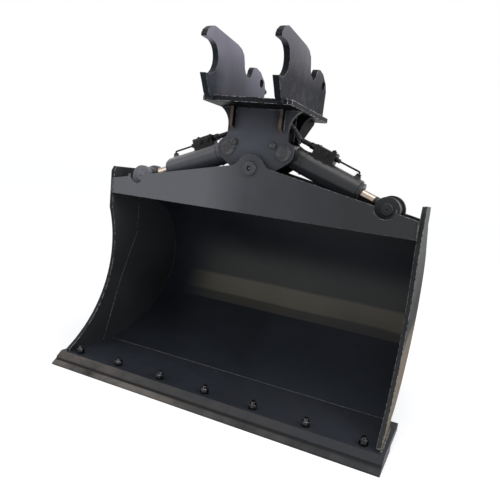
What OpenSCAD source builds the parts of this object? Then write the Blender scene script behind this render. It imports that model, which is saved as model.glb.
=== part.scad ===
// Hydraulic tilt bucket with a two-hook quick hitch, in millimetres.
// X runs across the bucket, Y from its mouth to its back, Z upwards.
// Sketches are drawn from the pivot axis at the front of the beam; seat() moves them to the part's origin,
// which is the centre of the hook jaws, midway between the hooks.

/* [Bucket] */
// Clear width between the sides at the mouth
inner_width = 1418; // [1300:1:1500]
// Height of the mouth between the beam and the base edge
mouth_height = 747; // [720:1:780]
// Angle by which each side draws in towards the back
side_taper = 1.5; // [0.5:0.5:3]
// Thickness of the rolled shell sheets
sheet_t = 10; // [8:1:12]
// Thickness of the rear part of each side
side_t = 12; // [10:1:16]
// Thickness of the front part of each side
cutter_t = 18; // [15:1:25]
// Radius of the lower shell sheet
lower_r = 670; // [640:10:720]
// Radius of the back of the shell
back_r = 290; // [270:5:310]
// Radius of the hollow front edge of each side
front_arc_r = 540; // [500:10:600]
// Height of the horn of each side above its joint with the beam
horn_rise = 56; // [45:1:65]

/* [Cutting edge] */
// Thickness of the base edge plate
base_t = 28; // [24:1:32]
// Depth of the flat part of the base edge, behind the beam face
base_back = 95; // [80:1:110]
// Reach of the base edge in front of the beam face
base_reach = 236; // [220:1:245]
// Reach past the sides of both edges
edge_overhang = 23; // [20:1:30]
// Thickness of the bolt-on edge
bolt_on_t = 25; // [20:1:30]
// Depth of the bolt-on edge from front to back
bolt_on_depth = 202; // [180:1:220]
// Reach of the bolt-on edge in front of the base edge
bolt_on_reach = 26; // [20:1:34]
// Thread diameter of the edge bolts
edge_bolt_d = 20; // [16:2:24]
// Number of edge bolts
edge_bolt_count = 7; // [5:1:9]
// Distance of the end bolts from the sides
edge_bolt_inset = 43; // [36:1:60]

/* [Beam] */
// Thickness of the two beam plates
beam_t = 20; // [16:1:24]
// Depth of the beam over both plates
beam_depth = 210; // [206:1:220]
// Height from the beam's underside to the pivot axis
beam_drop = 190; // [180:1:200]
// Height of a beam plate at its ends
beam_end_h = 70; // [64:1:80]
// Radius of the pivot lobe
lobe_r = 60; // [55:1:66]
// Radius of the fillets beside the pivot lobe
lobe_fillet_r = 60; // [40:1:70]
// Diameter of the pivot pin
pivot_d = 60; // [50:1:65]
// Reach of the pivot pin past the beam plates
pivot_proud = 12; // [9:1:16]

/* [Tilt body] */
// Thickness of the two tilt plates
tilt_t = 20; // [16:1:22]
// Gap between a beam plate and the tilt plate inside it
tilt_gap = 6; // [4:0.5:8]
// Half width of the neck of the tilt plates
neck_half = 138; // [132:1:146]
// Height of the underside of the hitch plate above the pivot axis
hitch_z = 250; // [240:1:260]
// Thickness of the hitch plate
hitch_t = 20; // [16:1:25]
// Half width of the hitch plate
hitch_half = 195; // [188:1:205]
// Thickness of the hooks
hook_t = 26; // [22:1:30]
// Distance between the middles of the hooks
hook_pitch = 306; // [296:2:320]
// Radius of the hook jaws
jaw_r = 65; // [60:1:68]
// Height of the jaw axis above the hitch plate
jaw_height = 135; // [130:1:145]
// Distance of the jaw axis in front of the beam
jaw_reach = 183; // [176:1:190]
// Length of a hook from the jaw axis to its back
hook_len = 550; // [535:1:565]
// Radius of the lock hole at the back of each hook
lock_hole_r = 20; // [15:1:24]

/* [Cylinders] */
// Outer diameter of the barrels
barrel_d = 100; // [94:1:104]
// Bore of the barrels
bore_d = 80; // [70:1:84]
// Diameter of the piston rods
rod_d = 45; // [36:1:50]
// Length of rod between a barrel and its rod pin when the bucket is level
rod_out = 144.5; // [134:0.5:156]
// Diameter of the pins at the barrel ends
barrel_pin_d = 45; // [40:1:48]
// Diameter of the pins at the rod ends
rod_pin_d = 50; // [44:1:54]
// Height of the barrel pins above the pivot axis
barrel_pin_z = 77; // [74:1:80]
// Distance of each barrel pin from the bucket's middle
barrel_pin_x = 130; // [127:1:133]
// Distance of each rod pin from the side at the mouth
rod_pin_inset = 131; // [124:1:138]
// Depth of the rod pins below the pivot axis
rod_pin_drop = 94; // [90:1:98]

/* [Hidden] */
$fn = 72;

// Finishes
paint = [0.235, 0.243, 0.251];
paint_dark = [0.15, 0.155, 0.165];
hook_paint = [0.36, 0.35, 0.37];
steel = [0.62, 0.62, 0.62];
chrome = [0.85, 0.84, 0.82];
zinc = [0.7, 0.68, 0.62];
rubber = [0.05, 0.05, 0.055];

// Fits and overruns
run_fit = 0.08; // a pin that turns in its bore
held_fit = 0.05; // a pin that is held in its bore
seat_gap = 0.3; // between pieces that pass each other
head_h_share = 0.65; // height of a bolt head in shares of its thread
head_across_share = 1.5; // width of a bolt head in shares of its thread
cut_over = 5; // by which a cutting tool overruns

// Heights and depths that follow from the sizes above
tilt_front_y = beam_t + tilt_gap;
tilt_rear_y = beam_depth - beam_t - tilt_gap - tilt_t;
mid_y = beam_depth / 2;
floor_z = -beam_drop - mouth_height;
edge_width = inner_width + 2 * (cutter_t + edge_overhang);
beam_end_z = beam_end_h - beam_drop;
horn_z = beam_end_z + horn_rise;
rod_pin_x = inner_width / 2 - rod_pin_inset;

// Jaw axis, seen from the pivot axis
jaw_y = -jaw_reach;
jaw_z = hitch_z + hitch_t + jaw_height;

module seat() {
  translate([0, -jaw_y, -jaw_z])
    children();
}

module both_sides() {
  children();
  mirror([1, 0, 0])
    children();
}

// A plate whose sketch has Y to the right and Z upwards, from x0 outwards
module yz_plate(x0, t) {
  translate([x0, 0, 0])
    rotate([90, 0, 90])
      linear_extrude(t)
        children();
}

// A plate whose sketch has X to the right and Z upwards, from y0 backwards
module xz_plate(y0, t) {
  translate([0, y0 + t, 0])
    rotate([90, 0, 0])
      linear_extrude(t)
        children();
}

module x_bar(x0, x1, r) {
  translate([x0, 0, 0])
    rotate([0, 90, 0])
      cylinder(h = x1 - x0, r = r);
}

module y_bar(y0, y1, r) {
  translate([0, y1, 0])
    rotate([90, 0, 0])
      cylinder(h = y1 - y0, r = r);
}

module hex_y(y0, y1, across) {
  translate([0, y1, 0])
    rotate([90, 0, 0])
      cylinder(h = y1 - y0, r = across / sqrt(3), $fn = 6);
}

module hex_x(x0, x1, across) {
  translate([x0, 0, 0])
    rotate([0, 90, 0])
      cylinder(h = x1 - x0, r = across / sqrt(3), $fn = 6);
}

// Point at an angle on a circle, an arc of such points, and half the clear width at a depth
function on_circle(c, r, a) = [c[0] + r * cos(a), c[1] + r * sin(a)];
arc_steps = 32;
function arc(c, r, a0, a1) = [for (i = [0:arc_steps]) on_circle(c, r, a0 + (a1 - a0) * i / arc_steps)];
function backwards(points) = [for (i = [len(points) - 1:-1:0]) points[i]];
function with_mirror(half) = concat(half, [for (p = backwards(half)) if (p[0] != 0) [-p[0], p[1]]]);
least_step = 0.01;
module outline(points) {
  n = len(points);
  polygon([for (i = [0:n - 1]) if (norm(points[i] - points[(i + n - 1) % n]) > least_step) points[i]]);
}
function half_inside(y) = inner_width / 2 - y * tan(side_taper);

// Part of a ring between two angles, up to half a turn
sector_reach_share = 1.5;
module ring_part(c, r, t, a0, a1) {
  reach = (r + t) * sector_reach_share;
  intersection() {
    translate(c)
      difference() {
        circle(r = r + t, $fn = 180);
        circle(r = r, $fn = 180);
      }
    polygon([c, on_circle(c, reach, a0), on_circle(c, reach, (a0 + a1) / 2), on_circle(c, reach, a1)]);
  }
}

// Keeps what lies between the two drawn-in sides
module between_sides(y0, y1, z0, z1) {
  intersection() {
    children();
    translate([0, 0, z0])
      linear_extrude(z1 - z0)
        polygon([
          [-half_inside(y0), y0], [half_inside(y0), y0],
          [half_inside(y1), y1], [-half_inside(y1), y1]
        ]);
  }
}

// Places a sketch or a piece on one drawn-in side
module on_right_side() {
  translate([inner_width / 2, 0, 0])
    rotate([0, 0, side_taper])
      children();
}

// Shell: the lower sheet leaves the base edge at a slant and the rolled back follows it without a kink.
// The turn of the lower sheet up to their seam makes both sheets fill the height below the beam.
lower_start_turn = 6;
top_turn = 75;
shell_lap = 4;
back_flat = 20;
lower_c = [base_back - lower_r * sin(lower_start_turn), floor_z + lower_r * cos(lower_start_turn)];
top_shift = (lower_c[0] + back_r * cos(top_turn) - beam_depth) / tan(top_turn);
height_left = lower_c[1] + back_r * sin(top_turn) + back_flat + top_shift + beam_drop - shell_lap;
seam_deg = top_turn - asin(height_left * sin(top_turn) / (lower_r - back_r));
seam_p = on_circle(lower_c, lower_r, seam_deg - 90);
back_c = [seam_p[0] - back_r * sin(seam_deg), seam_p[1] + back_r * cos(seam_deg)];
top_c = [back_c[0], back_c[1] + back_flat];
back_y = back_c[0] + back_r + sheet_t;

// The rolled back from the seam to the beam: out along one face and home along the other
function rolled_back(r) = concat(
  arc(back_c, r, seam_deg - 90, 0),
  arc(top_c, r, 0, top_turn),
  [let (p = on_circle(top_c, r, top_turn), run = (p[0] - beam_depth) / sin(top_turn))
    [beam_depth, p[1] + run * cos(top_turn)]]
);

module shell_top_sketch() {
  outline(concat(rolled_back(back_r), backwards(rolled_back(back_r + sheet_t))));
}

// The lower sheet starts where it meets the base edge
function edge_turn(r) = asin((base_back - lower_c[0]) / r) - 90;
module shell_low_sketch() {
  outline(concat(
    arc(lower_c, lower_r, edge_turn(lower_r), seam_deg - 90),
    arc(lower_c, lower_r + sheet_t, seam_deg - 90, edge_turn(lower_r + sheet_t))
  ));
}

// Side: hollow front edge from the toe on the base edge to a corner below the beam, horn above the beam
toe_y = -194;
toe_h = 12;
front_corner_y = 15;
front_corner_drop = 72;
toe_p = [toe_y, floor_z + toe_h];
front_corner_p = [front_corner_y, -beam_drop - front_corner_drop];
front_chord = front_corner_p - toe_p;
front_depth = sqrt(pow(front_arc_r, 2) - pow(norm(front_chord) / 2, 2));
front_c = (toe_p + front_corner_p) / 2 + front_depth * [-front_chord[1], front_chord[0]] / norm(front_chord);
horn_front_y = 7;
horn_chamfer = 14;
horn_chamfer_h = 22;
horn_back_y = 212;
horn_nose = 18;
horn_slope_shares = [0.549, 0.469];
shoulder_turn = 59.5;
shoulder_p = on_circle(top_c, back_r + sheet_t, shoulder_turn);
horn_back_p = [horn_back_y, horn_z - horn_nose];
horn_slope = shoulder_p - horn_back_p;
function front_turn(p) = atan2(p[1] - front_c[1], p[0] - front_c[0]);
side_low_turn = asin((floor_z - lower_c[1]) / (lower_r + sheet_t));

module side_sketch() {
  outline(concat(
    [[toe_y, floor_z]],
    arc(front_c, front_arc_r, front_turn(toe_p), front_turn(front_corner_p)),
    [
      [horn_front_y, horn_z - horn_chamfer_h], [horn_front_y + horn_chamfer, horn_z],
      [horn_back_y - horn_chamfer, horn_z], horn_back_p,
      horn_back_p + [horn_slope_shares[0] * horn_slope[0], horn_slope_shares[1] * horn_slope[1]]
    ],
    arc(top_c, back_r + sheet_t, shoulder_turn, 0),
    arc(back_c, back_r + sheet_t, 0, seam_deg - 90),
    arc(lower_c, lower_r + sheet_t, seam_deg - 90, side_low_turn)
  ));
}

// The seam between the thick front part and the thinner rear part of a side
seam_low_y = 32;
seam_mid_y = 120;
seam_mid_share = 0.398;
seam_top_y = 218;
seam_top_share = 0.719;
module front_part_sketch() {
  polygon([
    [toe_y - lower_r, floor_z - cut_over], [seam_low_y, floor_z - cut_over], [seam_low_y, floor_z],
    [seam_mid_y, floor_z + seam_mid_share * mouth_height],
    [seam_top_y, floor_z + seam_top_share * mouth_height],
    [seam_top_y, horn_z + cut_over], [toe_y - lower_r, horn_z + cut_over]
  ]);
}

module side_cutter_right() {
  color(paint)
    seat()
      on_right_side()
        yz_plate(0, cutter_t)
          intersection() {
            side_sketch();
            front_part_sketch();
          }
}

module side_cutter_left() {
  mirror([1, 0, 0])
    side_cutter_right();
}

module side_plate_right() {
  color(paint_dark)
    seat()
      on_right_side()
        yz_plate(0, side_t)
          difference() {
            side_sketch();
            front_part_sketch();
          }
}

module side_plate_left() {
  mirror([1, 0, 0])
    side_plate_right();
}

// Edges
bevel_step = 7;
bevel_run = 27;
edge_bolt_y = -175;
edge_hole_share = 1.1;
edge_head_share = 1.8;
edge_head_h_share = 0.55;
edge_nut_share = 1.5;
edge_thread_share = 0.4;
edge_hole_d = edge_bolt_d * edge_hole_share;
edge_head_d = edge_bolt_d * edge_head_share;
edge_head_h = edge_bolt_d * edge_head_h_share;
edge_nut_h = edge_bolt_d;
edge_nut_across = edge_bolt_d * edge_nut_share;
edge_thread_out = edge_bolt_d * edge_thread_share;
bolt_on_front = -base_reach - bolt_on_reach;
edge_first_x = edge_bolt_inset - inner_width / 2;
edge_bolt_pitch = -2 * edge_first_x / (edge_bolt_count - 1);

module at_edge_bolts() {
  for (i = [0:edge_bolt_count - 1])
    translate([edge_first_x + i * edge_bolt_pitch, edge_bolt_y, 0])
      children();
}

// A flat edge plate with a bevelled front
module edge_plate(front, back, top, t) {
  difference() {
    yz_plate(-edge_width / 2, edge_width)
      polygon([
        [front, top - t], [front, top - t + bevel_step], [front + bevel_run, top],
        [back, top], [back, top - t]
      ]);
    at_edge_bolts()
      translate([0, 0, top - t - cut_over])
        cylinder(h = t + 2 * cut_over, d = edge_hole_d);
  }
}

module base_edge() {
  color(paint)
    seat()
      edge_plate(-base_reach, base_back, floor_z, base_t);
}

module head_cone(grow) {
  cylinder(h = edge_head_h, r1 = edge_head_d / 2 + grow, r2 = edge_bolt_d / 2 + grow);
}

module bolt_on_edge() {
  low = floor_z - base_t - bolt_on_t;
  color(steel)
    seat()
      difference() {
        edge_plate(bolt_on_front, bolt_on_front + bolt_on_depth, floor_z - base_t, bolt_on_t);
        at_edge_bolts()
          translate([0, 0, low])
            head_cone(seat_gap);
      }
}

module edge_bolts() {
  low = floor_z - base_t - bolt_on_t;
  shank = base_t + bolt_on_t + edge_nut_h + edge_thread_out;
  color(zinc)
    seat()
      at_edge_bolts()
        translate([0, 0, low]) {
          head_cone(0);
          cylinder(h = shank, d = edge_bolt_d);
        }
}

module edge_nuts() {
  color(zinc)
    seat()
      at_edge_bolts()
        translate([0, 0, floor_z])
          difference() {
            cylinder(h = edge_nut_h, r = edge_nut_across / sqrt(3), $fn = 6);
            translate([0, 0, -cut_over])
              cylinder(h = edge_nut_h + 2 * cut_over, d = edge_bolt_d + 2 * held_fit);
          }
}

module shell_lower() {
  color(paint_dark)
    seat()
      between_sides(0, back_y, floor_z - lower_r, horn_z)
        yz_plate(-inner_width / 2, inner_width)
          shell_low_sketch();
}

module shell_upper() {
  color(paint)
    seat()
      between_sides(0, back_y, floor_z - lower_r, horn_z)
        yz_plate(-inner_width / 2, inner_width)
          shell_top_sketch();
}

// Wear bars round the heel
wear_bar_w = 60;
wear_bar_t = 12;
wear_bar_start_turn = 14;
wear_bar_end_turn = 46;
wear_bar_shares = [0.268, 0.79];
module heel_wear_bars() {
  color(paint_dark)
    seat()
      both_sides()
        for (share = wear_bar_shares)
          yz_plate(share * inner_width / 2 - wear_bar_w / 2, wear_bar_w)
            ring_part(lower_c, lower_r + sheet_t, wear_bar_t, wear_bar_start_turn - 90, wear_bar_end_turn - 90);
}

// Beam plates: a low gable with a pivot lobe and two notches that open the rod pins
gable_x = 126;
gable_z = -3;
gable_slope = atan2(gable_z - beam_end_z, inner_width / 2 - gable_x);
gable_h = (gable_z + gable_x * tan(gable_slope)) * cos(gable_slope);
fillet_h = gable_h + lobe_fillet_r;
fillet_along = sqrt(pow(lobe_r + lobe_fillet_r, 2) - pow(fillet_h, 2));
function on_gable(along, up) = [
  along * cos(gable_slope) + up * sin(gable_slope),
  -along * sin(gable_slope) + up * cos(gable_slope)
];
fillet_c = on_gable(fillet_along, fillet_h);
notch_r = 43;
notch_lift = 6;
notch_z = notch_lift - rod_pin_drop;

lobe_meet = atan2(fillet_c[1], fillet_c[0]);
function gable_at(x) = gable_z - (x - gable_x) * tan(gable_slope);
beam_half = concat(
  arc([0, 0], lobe_r, 90, lobe_meet),
  arc(fillet_c, lobe_fillet_r, lobe_meet - 180, -90 - gable_slope),
  [[rod_pin_x - notch_r, gable_at(rod_pin_x - notch_r)]],
  arc([rod_pin_x, notch_z], notch_r, 180, 360),
  [
    [rod_pin_x + notch_r, gable_at(rod_pin_x + notch_r)],
    [inner_width / 2, beam_end_z], [inner_width / 2, -beam_drop]
  ]
);

module beam_sketch() {
  outline(with_mirror(beam_half));
}

module beam_plate(y0) {
  difference() {
    between_sides(0, back_y, -2 * beam_drop, beam_drop)
      xz_plate(y0, beam_t)
        beam_sketch();
    y_bar(y0 - cut_over, y0 + beam_t + cut_over, pivot_d / 2 + held_fit);
    children();
  }
}

module beam_front_plate() {
  color(paint)
    seat()
      beam_plate(0);
}

// The pivot pin's keeper is bolted to the rear plate
keeper_x = 62;
keeper_drop = 40;
keeper_t = 10;
keeper_bolt_d = 16;
module beam_rear_plate() {
  color(paint_dark)
    seat()
      beam_plate(beam_depth - beam_t)
        translate([keeper_x, 0, -keeper_drop])
          y_bar(beam_depth - beam_t - cut_over, beam_depth + cut_over, keeper_bolt_d / 2 + held_fit);
}

beam_floor_t = 12;
module beam_floor() {
  color(paint_dark)
    seat()
      between_sides(beam_t, beam_depth - beam_t, -beam_drop, -beam_drop + beam_floor_t)
        translate([-inner_width / 2, beam_t, -beam_drop])
          cube([inner_width, beam_depth - 2 * beam_t, beam_floor_t]);
}

// Lugs for the rod ends stand on the beam floor
lug_t = 20;
front_lug_r = 50;
rear_lug_r = 56;
eye_w = 70;
eye_side_gap = 5;
front_lug_y = mid_y - eye_w / 2 - eye_side_gap - lug_t;
rear_lug_y = mid_y + eye_w / 2 + eye_side_gap;
module lug(y0, r) {
  difference() {
    xz_plate(y0, lug_t)
      union() {
        translate([rod_pin_x, -rod_pin_drop])
          circle(r = r);
        translate([rod_pin_x - r, -beam_drop + beam_floor_t])
          square([2 * r, beam_drop - beam_floor_t - rod_pin_drop]);
      }
    translate([rod_pin_x, 0, -rod_pin_drop])
      y_bar(y0 - cut_over, y0 + lug_t + cut_over, rod_pin_d / 2 + held_fit);
  }
}

module rod_lugs_front() {
  color(paint)
    seat()
      both_sides()
        lug(front_lug_y, front_lug_r);
}

module rod_lugs_rear() {
  color(paint_dark)
    seat()
      both_sides()
        lug(rear_lug_y, rear_lug_r);
}

// The rod pins are parted at the faces of the rod eyes, where the linkage is left open
pin_proud = 7;
pin_centre_d = 8;
pin_centre_depth = 5;
pin_chamfer = 2;
module rod_pin_ends() {
  color(steel)
    seat()
      both_sides()
        translate([rod_pin_x, 0, -rod_pin_drop]) {
          difference() {
            union() {
              y_bar(front_lug_y - pin_proud + pin_chamfer, mid_y - eye_w / 2 - seat_gap, rod_pin_d / 2);
              translate([0, front_lug_y - pin_proud + pin_chamfer, 0])
                rotate([90, 0, 0])
                  cylinder(h = pin_chamfer, r1 = rod_pin_d / 2, r2 = rod_pin_d / 2 - pin_chamfer);
            }
            y_bar(0, front_lug_y - pin_proud + pin_centre_depth, pin_centre_d / 2);
          }
          y_bar(mid_y + eye_w / 2 + seat_gap, rear_lug_y + lug_t + pin_proud, rod_pin_d / 2);
        }
}

// Pivot
nipple_well_d = 20;
nipple_well_depth = 14;
nipple_r = 4;
nipple_h = 10;
nipple_neck_share = 0.7;
nipple_tip_share = 0.4;
pivot_chamfer = 4;
module pivot_pin() {
  color(paint)
    seat()
      difference() {
        union() {
          y_bar(pivot_chamfer - pivot_proud, beam_depth + pivot_proud, pivot_d / 2);
          translate([0, pivot_chamfer - pivot_proud, 0])
            rotate([90, 0, 0])
              cylinder(h = pivot_chamfer, r1 = pivot_d / 2, r2 = pivot_d / 2 - pivot_chamfer);
        }
        y_bar(-pivot_proud - cut_over, nipple_well_depth - pivot_proud, nipple_well_d / 2);
      }
}

module pivot_nipple() {
  base_y = nipple_well_depth - pivot_proud;
  color(zinc)
    seat()
      union() {
        hex_y(base_y - nipple_h / 2, base_y, 2 * nipple_r);
        translate([0, base_y - nipple_h / 2, 0])
          rotate([90, 0, 0])
            cylinder(h = nipple_h / 2, r1 = nipple_r * nipple_neck_share, r2 = nipple_r * nipple_tip_share);
      }
}

module keeper_outline(r_bolt) {
  big = pivot_d / 2 + keeper_t;
  bolt_p = [keeper_x, -keeper_drop];
  turn = acos((big - r_bolt) / norm(bolt_p));
  base = atan2(-keeper_drop, keeper_x);
  outline(concat(
    arc([0, 0], big, base + turn, base - turn + 360),
    arc(bolt_p, r_bolt, base - turn, base + turn)
  ));
}

module pivot_keeper() {
  color(paint_dark)
    seat()
      difference() {
        xz_plate(beam_depth, keeper_t)
          keeper_outline(keeper_bolt_d);
        y_bar(beam_depth - cut_over, beam_depth + keeper_t + cut_over, pivot_d / 2 + held_fit);
        translate([keeper_x, 0, -keeper_drop])
          y_bar(beam_depth - cut_over, beam_depth + keeper_t + cut_over, keeper_bolt_d / 2 + held_fit);
      }
}

module pivot_keeper_bolt() {
  head_y = beam_depth + keeper_t;
  color(zinc)
    seat()
      translate([keeper_x, 0, -keeper_drop]) {
        y_bar(beam_depth - beam_t, head_y, keeper_bolt_d / 2);
        hex_y(head_y, head_y + keeper_bolt_d * head_h_share, keeper_bolt_d * head_across_share);
      }
}

// Tilt plates: hub, two lobes for the barrel pins, neck and flared top
tilt_lobe_r = 48;
hub_lobe_r = 60;
flare_r = 90;
flare_start_z = 170;
neck_fillet_r = 18;
lobe_c = [barrel_pin_x, barrel_pin_z];
lobe_span = norm(lobe_c);
lobe_lean = atan2(barrel_pin_z, barrel_pin_x);
hub_turn = acos((hub_lobe_r - tilt_lobe_r) / lobe_span);
neck_fillet_x = neck_half + neck_fillet_r;
neck_fillet_rise = sqrt(pow(tilt_lobe_r + neck_fillet_r, 2) - pow(neck_fillet_x - barrel_pin_x, 2));
neck_fillet_z = barrel_pin_z + neck_fillet_rise;

lobe_end = atan2(neck_fillet_z - barrel_pin_z, neck_fillet_x - barrel_pin_x);
flare_end = 180 - asin((hitch_z - flare_start_z) / flare_r);
tilt_half = concat(
  arc([0, 0], hub_lobe_r, -90, lobe_lean - hub_turn),
  arc(lobe_c, tilt_lobe_r, lobe_lean - hub_turn, lobe_end),
  arc([neck_fillet_x, neck_fillet_z], neck_fillet_r, lobe_end - 180, -180),
  arc([neck_half + flare_r, flare_start_z], flare_r, 180, flare_end)
);
module tilt_sketch() {
  outline(with_mirror(tilt_half));
}

hub_d = 100;
bush_od = 76;
bush_wall = (bush_od - pivot_d) / 2 - run_fit;
pin_bolt_left_shares = [-0.769, 1.351];
pin_bolt_right_shares = [0.631, 1.351];
pin_bolt_d = 16;
function of_lobe(shares) = [barrel_pin_x * shares[0], barrel_pin_z * shares[1]];
pin_bolt_left = of_lobe(pin_bolt_left_shares);
pin_bolt_right = of_lobe(pin_bolt_right_shares);

module tilt_plate(y0) {
  difference() {
    xz_plate(y0, tilt_t)
      tilt_sketch();
    y_bar(y0 - cut_over, y0 + tilt_t + cut_over, hub_d / 2 + held_fit);
    both_sides()
      translate([barrel_pin_x, 0, barrel_pin_z])
        y_bar(y0 - cut_over, y0 + tilt_t + cut_over, barrel_pin_d / 2 + held_fit);
    children();
  }
}

module at_pin_bolts() {
  for (p = [pin_bolt_left, pin_bolt_right])
    translate([p[0], 0, p[1]])
      children();
}

module tilt_front_plate() {
  color(paint)
    seat()
      tilt_plate(tilt_front_y)
        at_pin_bolts()
          y_bar(tilt_front_y - cut_over, tilt_front_y + tilt_t + cut_over, pin_bolt_d / 2 + held_fit);
}

module tilt_rear_plate() {
  color(paint_dark)
    seat()
      tilt_plate(tilt_rear_y);
}

module pivot_hub() {
  color(paint_dark)
    seat()
      difference() {
        y_bar(tilt_front_y, tilt_rear_y + tilt_t, hub_d / 2);
        y_bar(tilt_front_y - cut_over, tilt_rear_y + tilt_t + cut_over, bush_od / 2 + held_fit);
      }
}

bush_len = 55;
bush_flange_t = tilt_gap - seat_gap;
module pivot_bush() {
  difference() {
    union() {
      y_bar(tilt_front_y - bush_flange_t, tilt_front_y, hub_d / 2 - run_fit);
      y_bar(tilt_front_y - bush_flange_t, tilt_front_y + bush_len, bush_od / 2);
    }
    y_bar(0, tilt_front_y + bush_len + cut_over, bush_od / 2 - bush_wall);
  }
}

module pivot_bushes() {
  color([0.72, 0.55, 0.3])
    seat() {
      pivot_bush();
      translate([0, beam_depth, 0])
        mirror([0, 1, 0])
          pivot_bush();
    }
}

// Webs: inner walls between the tilt plates and rear stays under the hitch plate
web_t = 12;
web_outer_x = 116;
web_low_z = 132;
web_hole_r = 32;
web_hole_z = 196;
stay_outer_x = neck_half;
stay_t = 14;
stay_back_y = 349;
stay_nose = 12;
module tilt_webs() {
  color(paint_dark)
    seat()
      both_sides() {
        yz_plate(web_outer_x - web_t, web_t)
          difference() {
            translate([tilt_front_y + tilt_t, web_low_z])
              square([tilt_rear_y - tilt_front_y - tilt_t, hitch_z - web_low_z]);
            translate([mid_y, web_hole_z])
              circle(r = web_hole_r);
          }
        yz_plate(stay_outer_x - stay_t, stay_t)
          polygon([
            [tilt_rear_y + tilt_t, web_low_z], [tilt_rear_y + tilt_t + stay_nose, web_low_z],
            [stay_back_y, hitch_z - stay_nose], [stay_back_y, hitch_z], [tilt_rear_y + tilt_t, hitch_z]
          ]);
      }
}

gusset_x = 112;
gusset_t = 13;
gusset_depth = 30;
gusset_low_z = 155;
gusset_cut = 18;
module gussets() {
  color(paint)
    seat()
      both_sides()
        yz_plate(gusset_x - gusset_t / 2, gusset_t)
          polygon([
            [tilt_front_y, gusset_low_z], [tilt_front_y - gusset_depth, gusset_low_z + gusset_cut],
            [tilt_front_y - gusset_depth, hitch_z], [tilt_front_y, hitch_z]
          ]);
}

// Hitch plate and hooks
hitch_front_inset = 58;
hitch_back_out = 5;
hitch_front_y = jaw_y + hitch_front_inset;
hitch_back_y = jaw_y + hook_len + hitch_back_out;
hitch_corner = 14;
module hitch_plate() {
  color(paint)
    seat()
      translate([0, 0, hitch_z])
        linear_extrude(hitch_t)
          polygon([
            [-hitch_half + hitch_corner, hitch_front_y], [hitch_half - hitch_corner, hitch_front_y],
            [hitch_half, hitch_front_y + hitch_corner], [hitch_half, hitch_back_y - hitch_corner],
            [hitch_half - hitch_corner, hitch_back_y], [-hitch_half + hitch_corner, hitch_back_y],
            [-hitch_half, hitch_back_y - hitch_corner], [-hitch_half, hitch_front_y + hitch_corner]
          ]);
}

// Hook outline from the jaw axis: its lower front in shares of the jaw's radius and of its height above
// the plate's underside, its tip and back in shares of the hook's length
tip_reach = 41;
jaw_drop = jaw_height + hitch_t;
hook_front_shares = [[0.57, -0.955], [0.32, -0.858], [0.03, -0.658], [-0.22, -0.503]];
hook_back_shares = [
  [-0.0764, 0.1345], [-0.0618, 0.1636], [-0.0182, 0.1964], [0.0218, 0.2127], [0.0545, 0.2127],
  [0.4055, 0.1873], [0.4764, 0.1709], [0.5236, 0.1382], [0.5455, 0.0909], [0.5582, 0.0509],
  [0.5855, 0.0145], [0.6273, -0.0055], [0.6691, -0.0036], [0.6982, 0.0255], [0.7127, 0.0691],
  [0.7382, 0.0945], [0.7818, 0.1018], [0.8691, 0.0855], [0.9636, 0.0291], [1, -0.0309]
];
jaw_back_share = 0.34;
lock_inset = 50;
lock_lift = 1;
module hook_sketch() {
  translate([jaw_y, jaw_z])
    difference() {
      polygon(concat(
        [[hitch_front_inset, -jaw_drop]],
        [for (p = hook_front_shares) [p[0] * jaw_r, p[1] * jaw_drop]],
        [[-jaw_back_share * jaw_r, -jaw_r], [-tip_reach, -jaw_r], [-tip_reach, jaw_r]],
        [for (p = hook_back_shares) p * hook_len],
        [[hook_len, -jaw_height], [hitch_front_inset, -jaw_height]]
      ));
      circle(r = jaw_r);
      translate([-2 * jaw_r, -jaw_r])
        square([2 * jaw_r, 2 * jaw_r]);
      translate([hook_len - lock_inset, lock_lift])
        circle(r = lock_hole_r);
    }
}

module hook_right() {
  color(hook_paint)
    seat()
      yz_plate(hook_pitch / 2 - hook_t / 2, hook_t)
        hook_sketch();
}

module hook_left() {
  color(hook_paint)
    seat()
      yz_plate(-hook_pitch / 2 - hook_t / 2, hook_t)
        hook_sketch();
}

stop_bolt_d = 16;
stop_bolt_drop = 26;
stop_bolt_out = 12;
module hook_stop_bolt() {
  color(zinc)
    seat()
      translate([-hook_pitch / 2, jaw_y + hook_len, jaw_z - stop_bolt_drop]) {
        y_bar(0, stop_bolt_out, stop_bolt_d / 2);
        hex_y(stop_bolt_out, stop_bolt_out + stop_bolt_d * head_h_share, stop_bolt_d * head_across_share);
      }
}

// Barrel pins with a flange in front; the left flange has an ear for its bolt
pin_flange_r = 34;
pin_flange_t = tilt_gap - seat_gap;
pin_ear_r = 18;
pin_face = 1.5;
module barrel_pin(x) {
  translate([x, 0, barrel_pin_z]) {
    difference() {
      y_bar(tilt_front_y - pin_flange_t, tilt_rear_y + tilt_t + pin_flange_t, barrel_pin_d / 2);
      y_bar(tilt_front_y - pin_flange_t - cut_over, tilt_front_y - pin_flange_t + pin_face, pin_centre_d);
    }
    difference() {
      y_bar(tilt_front_y - pin_flange_t + pin_face, tilt_front_y, pin_flange_r);
      y_bar(tilt_front_y - pin_flange_t, tilt_front_y + cut_over, barrel_pin_d / 2 - held_fit);
    }
  }
}

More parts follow.
